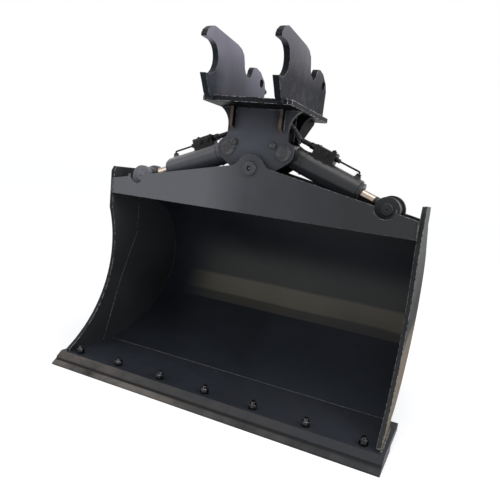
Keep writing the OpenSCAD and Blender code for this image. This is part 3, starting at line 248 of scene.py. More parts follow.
paintSettings = {
    "charcoalPaint": paint((0.034, 0.0355, 0.039), 0.44, 0.18, 0.16, 0.8, (0.3, 0.3, 0.32), 0.0022, drift=0.2),
    # The inside paint is the charcoal paint made darker, a painted shade inside the bucket. Its shades are
    # painted light towards the right and over the upper back; the outer faces, which look backward, get the
    # charcoal tone
    "insidePaint": paint(
        (0.0185, 0.0215, 0.028), 0.42, 0.2, 0.02, 0.25, (0.1, 0.1, 0.1), 0.0015, drift=0.3,
        shades=[([("atX", -0.05, 0.45)], (0.034, 0.039, 0.05), 0.9),
                ([("facesY", 0.01, 0.06)], (0.036, 0.0375, 0.041), 1.0),
                ([("atZ", -0.8, -0.64), ("atX", -0.35, 0.3), ("facesY", 0.0, -0.06)],
                 (0.06, 0.063, 0.068), 0.9)]),
    # The base edge is dark like the inside paint, a painted shade. It is painted lighter towards the right, its
    # end faces get a painted shade, and its rubbed faces are painted lightest at the left end and darkest at
    # the right, a painted light
    "baseEdgePaint": paint(
        (0.021, 0.024, 0.031), 0.45, 0.15, 0.03, 0.9, (0.3, 0.27, 0.23), 0.002,
        shades=[([("atX", 0.0, 0.4)], (0.029, 0.032, 0.04), 0.9),
                ([facesRight], (0.004, 0.004, 0.004), 0.95)],
        ground={"left": (0.122, 0.102, 0.09), "middle": (0.056, 0.054, 0.053), "right": (0.026, 0.027, 0.03),
                "leftFade": (-0.28, -0.62), "top": 0.0}),
    # The bolt-on edge's rubbed faces are painted lightest at the left end and darkest at the right, a painted
    # light, and keep a dark line along their top, a painted shadow under the base edge
    "boltOnEdgePaint": paint(
        (0.007, 0.007, 0.0075), 0.45, 0.15, 0.03, 0.7, (0.32, 0.28, 0.24), 0.0016, drift=0.3,
        ground={"left": (0.15, 0.136, 0.124), "middle": (0.076, 0.073, 0.07), "right": (0.04, 0.041, 0.044),
                "leftFade": (-0.02, -0.22), "top": place(0, 0, -965).z}),
    # The hooks are lit and shaded copies of one paint, the left one lighter: a painted light. On each, the
    # lower part, the front lower corner of the left hook, the rear lower corner of the right hook and the faces
    # that look forward are darker, a painted shade
    "hookLeftPaint": paint(
        (0.31, 0.295, 0.355), 0.45, 0.12, 0.1, 1.2, (0.62, 0.61, 0.63), 0.0016,
        shades=[([("atZ", 0.14, -0.12)], (0.15, 0.15, 0.185), 1.0),
                ([("atY", 0.15, 0.06), ("atZ", 0.04, -0.05)], (0.02, 0.026, 0.032), 0.9),
                ([facesFront], (0.01, 0.013, 0.016), 1.0)]),
    "hookRightPaint": paint(
        (0.275, 0.262, 0.285), 0.5, 0.06, 0.08, 1.2, (0.62, 0.61, 0.63), 0.0016,
        shades=[([("atZ", 0.2, -0.04)], (0.024, 0.024, 0.03), 1.0),
                ([("atY", 0.3, 0.5), ("atZ", 0.1, -0.02)], (0.006, 0.0075, 0.011), 0.95),
                ([facesFront], (0.009, 0.011, 0.014), 1.0)]),
    # Faces of the hitch plate that look up are painted lighter and those that look down near black, a painted
    # light and shade. Its wide, near-white rubbed edges are wear and painted highlight
    "hitchPaint": paint(
        (0.018, 0.0185, 0.021), 0.45, 0.06, 0.05, 1.4, (0.9, 0.9, 0.92), 0.0034,
        shades=[([("facesZ", 0.4, 0.9)], (0.06, 0.06, 0.066), 1.0),
                ([("facesZ", -0.4, -0.9)], (0.003, 0.003, 0.004), 0.95)]),
    # The beam is painted lighter towards the left end and darker towards the right, a painted light and shade
    "beamPaint": paint(
        (0.061, 0.064, 0.071), 0.46, 0.15, 0.16, 0.9, (0.36, 0.36, 0.38), 0.003, drift=0.2,
        shades=[([("atX", 0.0, -0.2)], (0.15, 0.152, 0.163), 1.0),
                ([("atX", 0.02, 0.45)], (0.038, 0.039, 0.041), 1.0)]),
    # Painted shade on the tilt plate: a darker band at the top, a painted shadow under the hitch plate; darker
    # towards the bottom and towards the right; a painted shadow left of each gusset; and dark faces that look
    # right
    "tiltPaint": paint(
        (0.079, 0.086, 0.103), 0.42, 0.17, 0.1, 0.6, (0.36, 0.36, 0.38), 0.0018,
        shades=[([("atZ", -0.26, -0.175)], (0.06, 0.064, 0.08), 0.95),
                ([("atZ", -0.32, -0.41)], (0.042, 0.045, 0.051), 0.95),
                ([("atX", 0.0, 0.14)], (0.04, 0.041, 0.044), 0.7),
                ([("atX", -0.1, -0.112), ("atZ", -0.26, -0.235)], (0.012, 0.014, 0.019), 0.9),
                ([("atX", 0.06, 0.1), ("atX", 0.115, 0.108), ("atZ", -0.25, -0.2)],
                 (0.012, 0.014, 0.018), 0.85),
                ([("facesX", 0.25, 0.6)], (0.004, 0.0045, 0.006), 0.95)]),
    # Painted light and shade on the sides: the faces that look forward a touch lighter; the inner face of the
    # left side lighter higher up and further back; the outer face of the right side light at the top and darker
    # downwards, with a beige band along its foot, a painted reflection of the floor
    "sidePaint": paint(
        (0.03, 0.031, 0.032), 0.6, 0.04, 0.14, 1.4, (0.46, 0.46, 0.48), 0.0034, drift=0.2,
        shades=[([("facesY", -0.4, -0.9)], (0.032, 0.033, 0.033), 0.9),
                ([facesRight, leftSide, ("atZ", -0.95, -0.7)], (0.06, 0.061, 0.062), 0.95),
                ([facesRight, leftSide, ("atY", 0.28, 0.5), ("atZ", -1.05, -0.8)],
                 (0.05, 0.052, 0.056), 0.9),
                ([facesRight, rightSide], (0.125, 0.125, 0.12), 1.0),
                ([facesRight, rightSide, ("atZ", -0.5, -0.93)], (0.018, 0.02, 0.017), 1.0),
                ([facesRight, rightSide, ("atZ", -1.0, -1.05)], (0.18, 0.14, 0.105), 0.95)]),
    # A near-black copy of the paint: painted shade on the tilt body's rear plate, webs and hub and on the
    # gussets. The faces that look backward get the charcoal tone
    "paintedShadePaint": paint(
        (0.0055, 0.0058, 0.0075), 0.5, 0.03, 0.02, 0.3, (0.12, 0.11, 0.1), 0.0014,
        shades=[([("facesY", 0.4, 0.9)], (0.026, 0.027, 0.029), 1.0)]),
    "flangePaint": paint(
        (0.017, 0.018, 0.02), 0.26, 0.5, 0.0, 0.5, (0.7, 0.7, 0.73), 0.0009, drift=0.2, coat=0.2),
    # The left cylinder is a lighter copy of the right one's paint, a painted light, with a painted highlight
    # along its top
    "cylinderLeftPaint": paint(
        (0.095, 0.098, 0.112), 0.33, 0.3, 0.1, 0.6, (0.4, 0.38, 0.36), 0.0016,
        shades=[([("facesZ", 0.45, 0.8)], (0.24, 0.222, 0.222), 0.9)]),
    # On the right cylinder: a brown streak along the top, a painted reflection; a painted shade near its base
    # pin; and a lighter underside, a painted light
    "cylinderPaint": paint(
        (0.016, 0.0165, 0.019), 0.33, 0.42, 0.1, 0.6, (0.2, 0.19, 0.18), 0.0016,
        shades=[([("facesZ", 0.72, 0.97)], (0.045, 0.039, 0.034), 0.45),
                ([("atX", 0.24, 0.15)], (0.005, 0.005, 0.005), 0.95),
                ([("facesZ", -0.2, -0.7)], (0.06, 0.062, 0.074), 0.9)]),
    # The left lugs and pin ends are painted lighter, a painted light
    "lugPaint": paint(
        (0.033, 0.034, 0.0365), 0.4, 0.17, 0.08, 0.9, (0.3, 0.3, 0.31), 0.0018,
        shades=[([("atX", -0.4, -0.5)], (0.21, 0.215, 0.235), 0.95)]),
    "pinPaint": paint(
        (0.039, 0.042, 0.048), 0.36, 0.4, 0.03, 0.45, (0.4, 0.4, 0.42), 0.0011, drift=0.15, coat=0.1),
    "fittingPaint": paint(
        (0.0045, 0.0044, 0.0048), 0.36, 0.22, 0.04, 0.8, (0.3, 0.29, 0.28), 0.0007, drift=0.3),
    "weldPaint": paint((0.012, 0.0115, 0.011), 0.36, 0.3, 0.05, 1.0, (0.5, 0.46, 0.4), 0.0014, drift=0.3),
    "insideWeldPaint": paint(
        (0.013, 0.0145, 0.018), 0.38, 0.3, 0.0, 0.25, (0.2, 0.19, 0.17), 0.0009, drift=0.4),
    "rubbedWeldPaint": paint((0.05, 0.049, 0.046), 0.4, 0.4, 0.0, 0.8, (0.4, 0.37, 0.32), 0.0009, drift=0.5),
}

# The gussets are ground on the face that looks forward. The rolled back has a painted reflection on its inner
# face: grey from the middle down, brown with a crisp edge above its seam with the lower sheet, and nearly gone
# along the seam. It thins out towards the left end
groundBrown = (0.15, 0.112, 0.088)
paintSettings["gussetPaint"] = {
    **paintSettings["paintedShadePaint"],
    "ground": {"left": groundBrown, "middle": groundBrown, "right": groundBrown, "leftFade": (0.0, -0.1),
               "top": 0.0}}
paintSettings["backSheetPaint"] = {
    **paintSettings["insidePaint"],
    "reflectionBand": {"grey": (0.06, 0.061, 0.059), "greyFade": (place(0, 0, -300).z, place(0, 0, -540).z),
             "brown": (0.165, 0.152, 0.12), "brownFade": (place(0, 0, -588).z, place(0, 0, -606).z),
             "bareFade": (place(0, 0, -684).z, place(0, 0, -694).z), "bareShare": 0.36,
             "leftFade": (-0.60, -0.36), "waver": 0.012}}


# Ground bevels: the faces that look forward show warm, rubbed steel through the paint, on the cutting edges
# lightest at the left end, a painted light. A dark line stays along their top, a painted shadow
def groundFacesAndPaintedLight(tree, color, s):
    forward = ramp(tree, along(tree, "facesY"), -0.1, -0.3)
    below = ramp(tree, along(tree, "atZ"), s["top"] - 0.004, s["top"] - 0.007)
    rubbed = ramp(tree, noise(tree, pieceCoords(tree), 9.0, 7.0, 0.62), 0.2, 0.55)
    tint = mixColor(tree, ramp(tree, along(tree, "atX"), *s["leftFade"]), s["middle"], s["left"])
    tint = mixColor(tree, ramp(tree, along(tree, "atX"), 0.05, 0.65), tint, s["right"])
    return mixColor(tree, times(tree, times(tree, forward, below), rubbed, True), color, tint)


# A painted reflection on the inner face of the rolled back, grey and brown, wavering a little in height
def paintedReflectionBand(tree, color, s):
    waver = noise(tree, pieceCoords(tree), 4.0, 4.0)
    height = plus(tree, along(tree, "atZ"), times(tree, mathNode(tree, "SUBTRACT", waver, 0.5), s["waver"]))
    grey, brown, bare = (ramp(tree, height, *s[k], "SMOOTHSTEP") for k in ("greyFade", "brownFade", "bareFade"))
    inward = ramp(tree, along(tree, "facesY"), 0.0, -0.05)
    ends = times(tree, ramp(tree, along(tree, "atX"), *s["leftFade"], "SMOOTHSTEP"), inward)
    blotch = plus(tree, times(tree, waver, 0.6), 0.6)
    kept = mathNode(tree, "SUBTRACT", 1.0, times(tree, bare, 1 - s["bareShare"]))
    amount = times(tree, times(tree, grey, ends), times(tree, kept, blotch), True)
    return mixColor(tree, amount, color, mixColor(tree, brown, s["grey"], s["brown"]))


def paintMaterial(name, s):
    material, tree, shader = newMaterial(name)
    wear = useGroup(tree, edgeWearAndHighlight, {"Width": s["edge"], "Break": s["break"], "Amount": s["worn"]})
    skin = useGroup(tree, paintSkin)
    darker, lighter = ([c * (1 + way * s["drift"]) for c in s["base"]] for way in (-1, 1))
    color = mixColor(tree, ramp(tree, skin["Drift"], 0.3, 0.7), darker, lighter)
    for limits, tone, share in s["shades"]:
        amount = times(tree, plus(tree, times(tree, skin["Cloud"], 0.5), 0.75), share, True)
        for where, none, full in limits:
            amount = times(tree, amount, ramp(tree, along(tree, where), none, full))
        color = mixColor(tree, amount, color, tone)
    color = mixColor(tree, useGroup(tree, dust, {"Amount": s["dust"]})["Mask"], color, s["dustColor"])
    color = mixColor(tree, wear["Mask"], color, s["wornAndHighlightColor"])
    if "ground" in s:
        color = groundFacesAndPaintedLight(tree, color, s["ground"])
    if "reflectionBand" in s:
        color = paintedReflectionBand(tree, color, s["reflectionBand"])
    rough = plus(tree, times(tree, skin["Cloud"], s["cloudShine"]), s["roughness"] - s["cloudShine"] / 2)
    fill(tree, shader, {"Base Color": color, "Roughness": rough,
                        "Metallic": times(tree, wear["Mask"], s["bareMetal"]),
                        "Specular IOR Level": s["specular"], "Coat Weight": s["coat"],
                        "Coat Roughness": s["coatRoughness"]})
    addBump(tree, shader, skin["Height"], s["bump"], s["bumpDepth"], wear["Normal"])
    return material


metalDefaults = {"stainColor": (0.05, 0.045, 0.04), "bright": 1.5, "worn": 0.5, "edge": 0.0012, "break": 120.0,
                 "bumpDepth": 0.0003}
metalSettings = {
    # The rod's chrome is tinted tan, a painted reflection
    "rodAndEye": {"base": (0.42, 0.34, 0.29), "roughness": 0.2, "scale": 500.0, "stain": 0.15, "bump": 0.04},
    # The fasteners' rubbed edges are brightened far past the steel, as wear and painted highlight
    "darkSteel": {"base": (0.03, 0.03, 0.032), "roughness": 0.34, "scale": 300.0, "stain": 0.5, "bump": 0.15,
                  "bright": 14.0, "worn": 1.4},
    "pinSteel": {"base": (0.34, 0.335, 0.33), "roughness": 0.36, "scale": 300.0, "stain": 0.6, "bump": 0.15},
    "springWire": {"base": (0.085, 0.085, 0.088), "roughness": 0.3, "scale": 700.0, "stain": 0.4, "bump": 0.1},
    "bronze": {"base": (0.45, 0.3, 0.14), "roughness": 0.4, "scale": 300.0, "stain": 0.4, "bump": 0.15},
}


def metalMaterial(name, s):
    s = {**metalDefaults, **s}
    material, tree, shader = newMaterial(name)
    wear = useGroup(tree, edgeWearAndHighlight, {"Width": s["edge"], "Break": s["break"], "Amount": s["worn"]})
    marks = useGroup(tree, metalMarks, {"Scale": s["scale"]})
    stained = times(tree, ramp(tree, marks["Stain"], 0.5, 0.75), s["stain"])
    bright = [min(1, c * s["bright"]) for c in s["base"]]
    color = mixColor(tree, wear["Mask"], mixColor(tree, stained, s["base"], s["stainColor"]), bright)
    rough = plus(tree, times(tree, marks["Marks"], 0.25), s["roughness"] - 0.12)
    fill(tree, shader, {"Base Color": color, "Roughness": rough, "Metallic": 1.0})
    addBump(tree, shader, marks["Marks"], s["bump"], s["bumpDepth"], wear["Normal"])
    return material


# The rod is chromed up to a dark collar; its eye is plain worn steel. Both sides share the eye's place, seen
# without its sign
rodEyeSettings = {
    "eye": place(578, 0, -94), "eyeReach": 0.058, "collarReach": 0.07, "soften": 0.003,
    "eyeColor": (0.075, 0.074, 0.075), "collarColor": (0.006, 0.006, 0.0065), "roughness": 0.45, "dull": 0.6,
}


def addRodEye(material, s):
    tree = material.node_tree
    shader = tree.nodes["Principled BSDF"]
    chrome, shine = (shader.inputs[k].links[0].from_socket for k in ("Base Color", "Roughness"))
    coords = pieceCoords(tree)
    plain = addNode(tree, "VectorMath", {0: coords, 1: (1, 0, 1)}, operation="MULTIPLY").outputs[0]
    unsigned = addNode(tree, "VectorMath", {0: plain}, operation="ABSOLUTE").outputs[0]
    away = addNode(tree, "VectorMath", {0: unsigned, 1: (abs(s["eye"].x), 0, abs(s["eye"].z))},
                   operation="DISTANCE").outputs["Value"]
    eye, collar = (ramp(tree, away, s[k] + s["soften"], s[k]) for k in ("eyeReach", "collarReach"))
    patches = ramp(tree, noise(tree, coords, 30.0, 5.0), 0.35, 0.65)
    worn = mixColor(tree, patches, s["collarColor"], s["eyeColor"])
    fill(tree, shader, {
        "Base Color": mixColor(tree, eye, mixColor(tree, collar, chrome, s["collarColor"]), worn),
        "Roughness": mathNode(tree, "MAXIMUM", shine, times(tree, collar, s["roughness"])),
        "Metallic": mathNode(tree, "SUBTRACT", 1.0, times(tree, collar, s["dull"]))})


rubberSettings = {"dark": (0.006, 0.006, 0.0065), "pale": (0.022, 0.022, 0.024), "roughness": 0.45}


def rubberMaterial(name, s):
    material, tree, shader = newMaterial(name)
    skin = useGroup(tree, paintSkin, {"Drift Scale": 20.0, "Grain Scale": 900.0})
    fill(tree, shader, {"Base Color": mixColor(tree, skin["Cloud"], s["dark"], s["pale"]),
                        "Roughness": plus(tree, times(tree, skin["Cloud"], 0.2), s["roughness"])})
    addBump(tree, shader, skin["Height"], 0.25, 0.0004)
    return material


finishes = {name: paintMaterial(name, s) for name, s in paintSettings.items()}
finishes.update({name: metalMaterial(name, s) for name, s in metalSettings.items()})
addRodEye(finishes["rodAndEye"], rodEyeSettings)
finishes["blackRubber"] = rubberMaterial("blackRubber", rubberSettings)
print("finishes made")

# Which finish each CAD node wears

nodeFinishes = {
    "charcoalPaint": ["heel_wear_bars", "pivot_keeper"],
    "sidePaint": ["side_plate_left", "side_plate_right", "side_cutter_left", "side_cutter_right"],
    "beamPaint": ["beam_front_plate", "beam_rear_plate", "beam_floor"],
    "tiltPaint": ["tilt_front_plate"],
    "gussetPaint": ["gussets"],
    "lugPaint": ["rod_lugs_front", "rod_lugs_rear", "rod_pin_ends"],
    "paintedShadePaint": ["tilt_rear_plate", "tilt_webs", "pivot_hub"],
    "hitchPaint": ["hitch_plate"],
    "insidePaint": ["shell_lower"],
    "backSheetPaint": ["shell_upper"],
    "baseEdgePaint": ["base_edge"],
    "boltOnEdgePaint": ["bolt_on_edge"],
    "hookLeftPaint": ["hook_left"],
    "hookRightPaint": ["hook_right"],
    "cylinderLeftPaint": ["barrel_left", "gland_left"],
    "cylinderPaint": ["barrel_right", "gland_right"],
    "pinPaint": ["pivot_pin", "barrel_pin_left", "barrel_pin_right", "barrel_pin_bolts"],
    "fittingPaint": ["valve_block_left", "valve_block_right", "valve_fittings_left", "valve_fittings_right",
                     "oil_tube_left", "oil_tube_right", "hose_elbows"],
    "rodAndEye": ["rod_left", "rod_right"],
    "pinSteel": ["eye_core_left", "eye_core_right", "piston_left", "piston_right"],
    "darkSteel": ["edge_bolts", "edge_nuts", "pivot_keeper_bolt", "hook_stop_bolt", "pivot_nipple"],
    "springWire": ["spring_guard_left", "spring_guard_right"],
    "bronze": ["pivot_bushes"],
    "blackRubber": ["hose_left", "hose_right", "rod_wiper_left", "rod_wiper_right"],
}

for finishName, nodeNames in nodeFinishes.items():
    for nodeName in nodeNames:
        slots = nodes[nodeName].data.materials
        slots.clear()
        slots.append(finishes[finishName])

# Shapes are sketched in millimetres from the pivot axis, and become pieces in the frame's metres

pivotSeat = Matrix.Translation(place(0, 0, 0)) @ Matrix.Scale(0.001, 4)
alongX = Matrix.Rotation(math.radians(90), 4, "Y")
towardsFront = Matrix.Rotation(math.radians(90), 4, "X")
middleY = 105

sideNames = {1: "right", -1: "left"}
cylinderPaints = {1: "cylinderPaint", -1: "cylinderLeftPaint"}
cylinderSettings = {
    "pinX": 130, "pinZ": 77, "rodPinX": 578, "rodPinZ": -94,
    "barrelStart": 78, "barrelEnd": 335.03, "barrelRadius": 50,
    "blockStart": 92, "blockLength": 98, "blockWidth": 56, "blockTop": 94, "blockFoot": 40,
    "portStart": 304.03, "hoseHeight": 78, "tubeHeight": 74,
}
cylinderLean = math.atan2(cylinderSettings["pinZ"] - cylinderSettings["rodPinZ"],
                          cylinderSettings["rodPinX"] - cylinderSettings["pinX"])


def shift(x, y, z):
    return Matrix.Translation((x, y, z))


# Local X runs from the base pin to the rod pin, local Z away from the barrel
def cylinderSeat(side):
    s = cylinderSettings
    return (Matrix.Scale(side, 4, (1, 0, 0)) @ shift(s["pinX"], middleY, s["pinZ"])
            @ Matrix.Rotation(cylinderLean, 4, "Y"))


def meshFrom(bm, name):
    mesh = bpy.data.meshes.new(name)
    bm.to_mesh(mesh)
    bm.free()
    return mesh


def addShape(target, shape, matrix=Matrix()):
    bmesh.ops.transform(shape, matrix=matrix, verts=shape.verts)
    if matrix.determinant() < 0:
        bmesh.ops.reverse_faces(shape, faces=shape.faces)
    mesh = meshFrom(shape, "shape")
    target.from_mesh(mesh)
    bpy.data.meshes.remove(mesh)


# A profile of radius and height, turned round Z
def turnedShape(profile, steps=40):
    bm = bmesh.new()
    line = [bm.verts.new((radius, 0, height)) for radius, height in profile]
    edges = [bm.edges.new(pair) for pair in zip(line, line[1:])]
    bmesh.ops.spin(bm, geom=line + edges, cent=(0, 0, 0), axis=(0, 0, 1), dvec=(0, 0, 0),
                   angle=2 * math.pi, steps=steps, use_merge=True)
    bmesh.ops.remove_doubles(bm, verts=bm.verts, dist=0.0001)
    bmesh.ops.recalc_face_normals(bm, faces=bm.faces)
    return bm


def hexShape(across, height, chamfer=1.0):
    bm = bmesh.new()
    radius = across / math.sqrt(3)
    bmesh.ops.create_cone(bm, cap_ends=True, segments=6, radius1=radius, radius2=radius, depth=height)
    bmesh.ops.translate(bm, verts=bm.verts, vec=(0, 0, height / 2))
    rims = [e for e in bm.edges if abs(e.verts[0].co.z - e.verts[1].co.z) < 0.001]
    bmesh.ops.bevel(bm, geom=rims, offset=chamfer, offset_type="OFFSET", affect="EDGES", segments=2,
                    profile=0.5, material=-1)
    return bm


def blockShape(low, high, rounding=2.0):
    bm = bmesh.new()
    low, high = Vector(low), Vector(high)
    bmesh.ops.create_cube(bm, size=1)
    bmesh.ops.transform(bm, matrix=Matrix.Translation((low + high) / 2) @ Matrix.Diagonal((*(high - low), 1)),
                        verts=bm.verts)
    bmesh.ops.bevel(bm, geom=bm.edges[:], offset=rounding, offset_type="OFFSET", affect="EDGES", segments=3,
                    profile=0.5, material=-1)
    return bm


# A round wire through points, with its own thickness at each point where that is given
def wireShape(points, radius, resolution=1, thickness=None):
    curve = bpy.data.curves.new("wire", "CURVE")
    curve.dimensions = "3D"
    curve.bevel_depth = radius
    curve.bevel_resolution = resolution
    curve.use_fill_caps = True
    spline = curve.splines.new("POLY")
    spline.points.add(len(points) - 1)
    for i, point in enumerate(points):
        spline.points[i].co = (*point, 1)
        spline.points[i].radius = thickness[i] if thickness else 1
    holder = bpy.data.objects.new("wire", curve)
    mesh = bpy.data.meshes.new_from_object(holder)
    bm = bmesh.new()
    bm.from_mesh(mesh)
    bpy.data.objects.remove(holder)
    bpy.data.curves.remove(curve)
    bpy.data.meshes.remove(mesh)
    bmesh.ops.remove_doubles(bm, verts=bm.verts, dist=0.0001)
    bmesh.ops.recalc_face_normals(bm, faces=bm.faces)
    return bm


def finishPiece(bm, name, finish, body=None, replaced=(), sharp=34):
    mesh = meshFrom(bm, name)
    mesh.transform(pivotSeat)
    mesh.shade_smooth()
    mesh.set_sharp_from_angle(angle=math.radians(sharp))
    mesh.materials.append(finishes[finish])
    piece = newObject(name, mesh)
    if body:
        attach(piece, body)
    if replaced:
        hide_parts(*replaced)
    return piece


# Hoses and their spring guards, from the elbows under the hitch plate to the valve blocks

hoseSettings = {
    "radius": 7.0,
    "route": [(78, 212), (87, 212), (97, 210), (107, 206), (117, 200), (127, 192), (136, 183), (144, 174),
              (153, 163), (160, 155), (167, 148), (176.22, 142.85)],
    "stepsPerSpan": 5,
    "guardWire": 1.8, "guardRadius": 9.4, "guardCurls": 16, "guardSpan": (3.4, 10.7), "pointsPerCurl": 14,
    "bendSpan": (3.9, 10.4),
}


def hoseDirection(i, s):
    route = s["route"]
    if i == 0:
        return Vector((1, 0))
    if i == len(route) - 1:
        return Vector((math.cos(cylinderLean), -math.sin(cylinderLean)))
    return (Vector(route[i + 1]) - Vector(route[i - 1])).normalized()


# Smooth point and direction on the route, for a place counted in its spans
def onHose(spans, s):
    i = min(int(spans), len(s["route"]) - 2)
    f = spans - i
    a, b = Vector(s["route"][i]), Vector(s["route"][i + 1])
    span = (b - a).length
    goOut, comeIn = hoseDirection(i, s), hoseDirection(i + 1, s)
    spot = (a * (2 * f ** 3 - 3 * f ** 2 + 1) + goOut * span * (f ** 3 - 2 * f ** 2 + f)
            + b * (3 * f ** 2 - 2 * f ** 3) + comeIn * span * (f ** 3 - f ** 2))
    return spot, (goOut * (1 - f) + comeIn * f).normalized()


def hosePoints(s, side):
    points = []
    for k in range((len(s["route"]) - 1) * s["stepsPerSpan"] + 1):
        spot, _ = onHose(k / s["stepsPerSpan"], s)
        points.append(Vector((side * spot.x, middleY, spot.y)))
    return points


def guardPoints(s, side):
    start, end = s["guardSpan"]
    steps = s["guardCurls"] * s["pointsPerCurl"]
    points = []
    for k in range(steps + 1):
        spot, ahead = onHose(start + (end - start) * k / steps, s)
        turn = 2 * math.pi * k / s["pointsPerCurl"]
        out = s["guardRadius"] * math.cos(turn)
        points.append(Vector((side * (spot.x - ahead.y * out), middleY + s["guardRadius"] * math.sin(turn),
                              spot.y + ahead.x * out)))
    return points


def makeHose(s, side):
    name = sideNames[side]
    points = hosePoints(s, side)
    hose = finishPiece(wireShape(points, s["radius"], 3), "hose" + name.capitalize(), "blackRubber",
                       replaced=["hose_" + name])
    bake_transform(hose)
    guard = finishPiece(wireShape(guardPoints(s, side), s["guardWire"]), "springGuard" + name.capitalize(),
                        "springWire", replaced=["spring_guard_" + name])
    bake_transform(guard)
    inFrame = [place(*p) for p in points]
    length = sum((b - a).length for a, b in zip(inFrame, inFrame[1:]))
    return length


for side in sideNames:
    print("hose", sideNames[side], "length", round(makeHose(hoseSettings, side), 4))

# Fasteners of the cutting edge: plough bolts from below, nuts with threads above

edgeFastenerSettings = {
    "firstX": -666, "pitch": 222, "count": 7, "y": -175, "turnEach": 17,
    "underside": -990, "floor": -937, "headRadius": 18, "headHeight": 11, "boltRadius": 10,
    "nutAcross": 31, "nutHeight": 21, "nutChamfer": 1.6, "rimInset": 1, "rimLip": 0.6, "rimLift": 0.4,
    "threadOut": 33, "threadStart": 2, "threadPitch": 2.5, "threadDepth": 1.2,
}


# Threaded end: a zigzag profile with a chamfered tip
def threadProfile(radius, start, end, pitch, depth):
    profile = []
    height = start
    while height < end - 1.5 * pitch:
        profile += [(radius, height), (radius - depth, height + pitch / 2)]
        height += pitch
    return profile + [(radius, height), (radius, end - depth), (radius - depth, end), (0, end)]


def makeEdgeFasteners(s):
    bm = bmesh.new()
    bolt, foot, floor = s["boltRadius"], s["underside"], s["floor"]
    shank = ([(0, foot), (s["headRadius"], foot), (bolt, foot + s["headHeight"])]
             + threadProfile(bolt, floor + s["threadStart"], floor + s["threadOut"], s["threadPitch"],
                             s["threadDepth"]))
    top, ring = s["nutHeight"], s["nutAcross"] / 2 - s["rimInset"]
    low, high, dip = top - s["rimInset"], top + s["rimLift"], top - s["rimLip"]
    rim = [(0, low), (ring, low), (ring - s["rimLip"], high), (bolt + s["rimInset"], high),
           (bolt, dip), (0, dip)]
    for i in range(s["count"]):
        seat = shift(s["firstX"] + i * s["pitch"], s["y"], 0)
        addShape(bm, turnedShape(shank, 32), seat)
        addShape(bm, hexShape(s["nutAcross"], s["nutHeight"], s["nutChamfer"]),
                 seat @ shift(0, 0, floor) @ Matrix.Rotation(math.radians(s["turnEach"] * i), 4, "Z"))
        addShape(bm, turnedShape(rim, 32), seat @ shift(0, 0, floor))
    finishPiece(bm, "edgeFasteners", "darkSteel", "bucket", ["edge_bolts", "edge_nuts"])


makeEdgeFasteners(edgeFastenerSettings)
print("edge fasteners made")

# Barrel pins: flange, raised ring and dished middle; the left flange has an ear under its bolt. Each face is
# given as radius and depth behind the front

barrelPinSettings = {
    "spots": {"left": (-130, 77), "right": (130, 77)},
    "front": 20.3, "seat": 26, "rear": 189.7, "radius": 22.5, "chamfer": 1, "flangeRadius": 34,
    "face": [(34, 2.6), (32.8, 1.4), (28.6, 1.4), (27.6, 1.9), (26.4, 1.2), (25, 0), (22.6, 0), (20.6, 1.0),
             (19.2, 2.6), (8, 2.9), (4, 2.9), (3.4, 4.5), (0, 4.5)],
    "earSpot": (-99.97, 104.03), "earRadius": 18, "earInset": 2, "earSink": 1.6,
    "bolts": {"left": {"spot": (-99.97, 104.03), "foot": 21.8, "height": 6.5},
              "right": {"spot": (82.03, 104.03), "foot": 26, "height": 13}},
    "boltRadius": 14, "wellRadius": 7.6, "wellDepth": 1.6, "shankRadius": 8, "shankEnd": 46,
}


# A pin along Y, plain behind and turned in front; a shoulder leads to its flange
def pinShape(s, shoulder, steps):
    radius, rear, chamfer = s["radius"], -s["rear"], s["chamfer"]
    back = [(0, rear), (radius - chamfer, rear), (radius, rear + chamfer)]
    face = [(out, -s["front"] - depth) for out, depth in s["face"]]
    return turnedShape(back + shoulder + face, steps)


def earShape(s, run):
    ear = bmesh.new()
    for spot, radius in (((0, 0, 0), s["flangeRadius"] - s["earInset"]), (run, s["earRadius"])):
        made = bmesh.ops.create_cone(ear, cap_ends=False, segments=48, radius1=radius, radius2=radius,
                                     depth=s["seat"] - s["front"] - s["earSink"])
        bmesh.ops.transform(ear, matrix=Matrix.Translation(spot) @ towardsFront, verts=made["verts"])
    bmesh.ops.convex_hull(ear, input=ear.verts[:])
    bmesh.ops.delete(ear, geom=[v for v in ear.verts if not v.link_faces], context="VERTS")
    bmesh.ops.recalc_face_normals(ear, faces=ear.faces)
    return ear


def makeBarrelPin(s, name):
    x, z = s["spots"][name]
    bm = bmesh.new()
    shoulder = [(s["radius"], -s["seat"]), (s["flangeRadius"], -s["seat"])]
    addShape(bm, pinShape(s, shoulder, 56), shift(x, 0, z) @ towardsFront)
    if name == "left":
        run = Vector((s["earSpot"][0] - x, 0, s["earSpot"][1] - z))
        addShape(bm, earShape(s, run), shift(x, (s["seat"] + s["front"] + s["earSink"]) / 2, z))
    finishPiece(bm, "barrelPin" + name.capitalize(), "flangePaint", "tilt_body", ["barrel_pin_" + name])


def makePinBolts(s):
    bm = bmesh.new()
    rim, well, shank = s["boltRadius"], s["wellRadius"], s["shankRadius"]
    for bolt in s["bolts"].values():
        x, z = bolt["spot"]
        foot, top = bolt["foot"], bolt["height"]
        floor, length = top - s["wellDepth"], s["shankEnd"] - bolt["foot"]
        head = [(0, -0.5), (rim - 0.6, -0.5), (rim, 0.2), (rim, top - 2), (rim - 2, top - 0.2), (well, top),
                (well - 1.2, floor), (0, floor)]
        addShape(bm, turnedShape(head, 36), shift(x, foot, z) @ towardsFront)
        addShape(bm, turnedShape([(0, 0), (shank, 0), (shank, length), (0, length)], 24),
                 shift(x, s["shankEnd"], z) @ towardsFront)
    finishPiece(bm, "pinBolts", "flangePaint", "tilt_body", ["barrel_pin_bolts"])


for name in barrelPinSettings["spots"]:
    makeBarrelPin(barrelPinSettings, name)
makePinBolts(barrelPinSettings)

# Pivot pin: rounded rim, turned ring and a well with its grease nipple

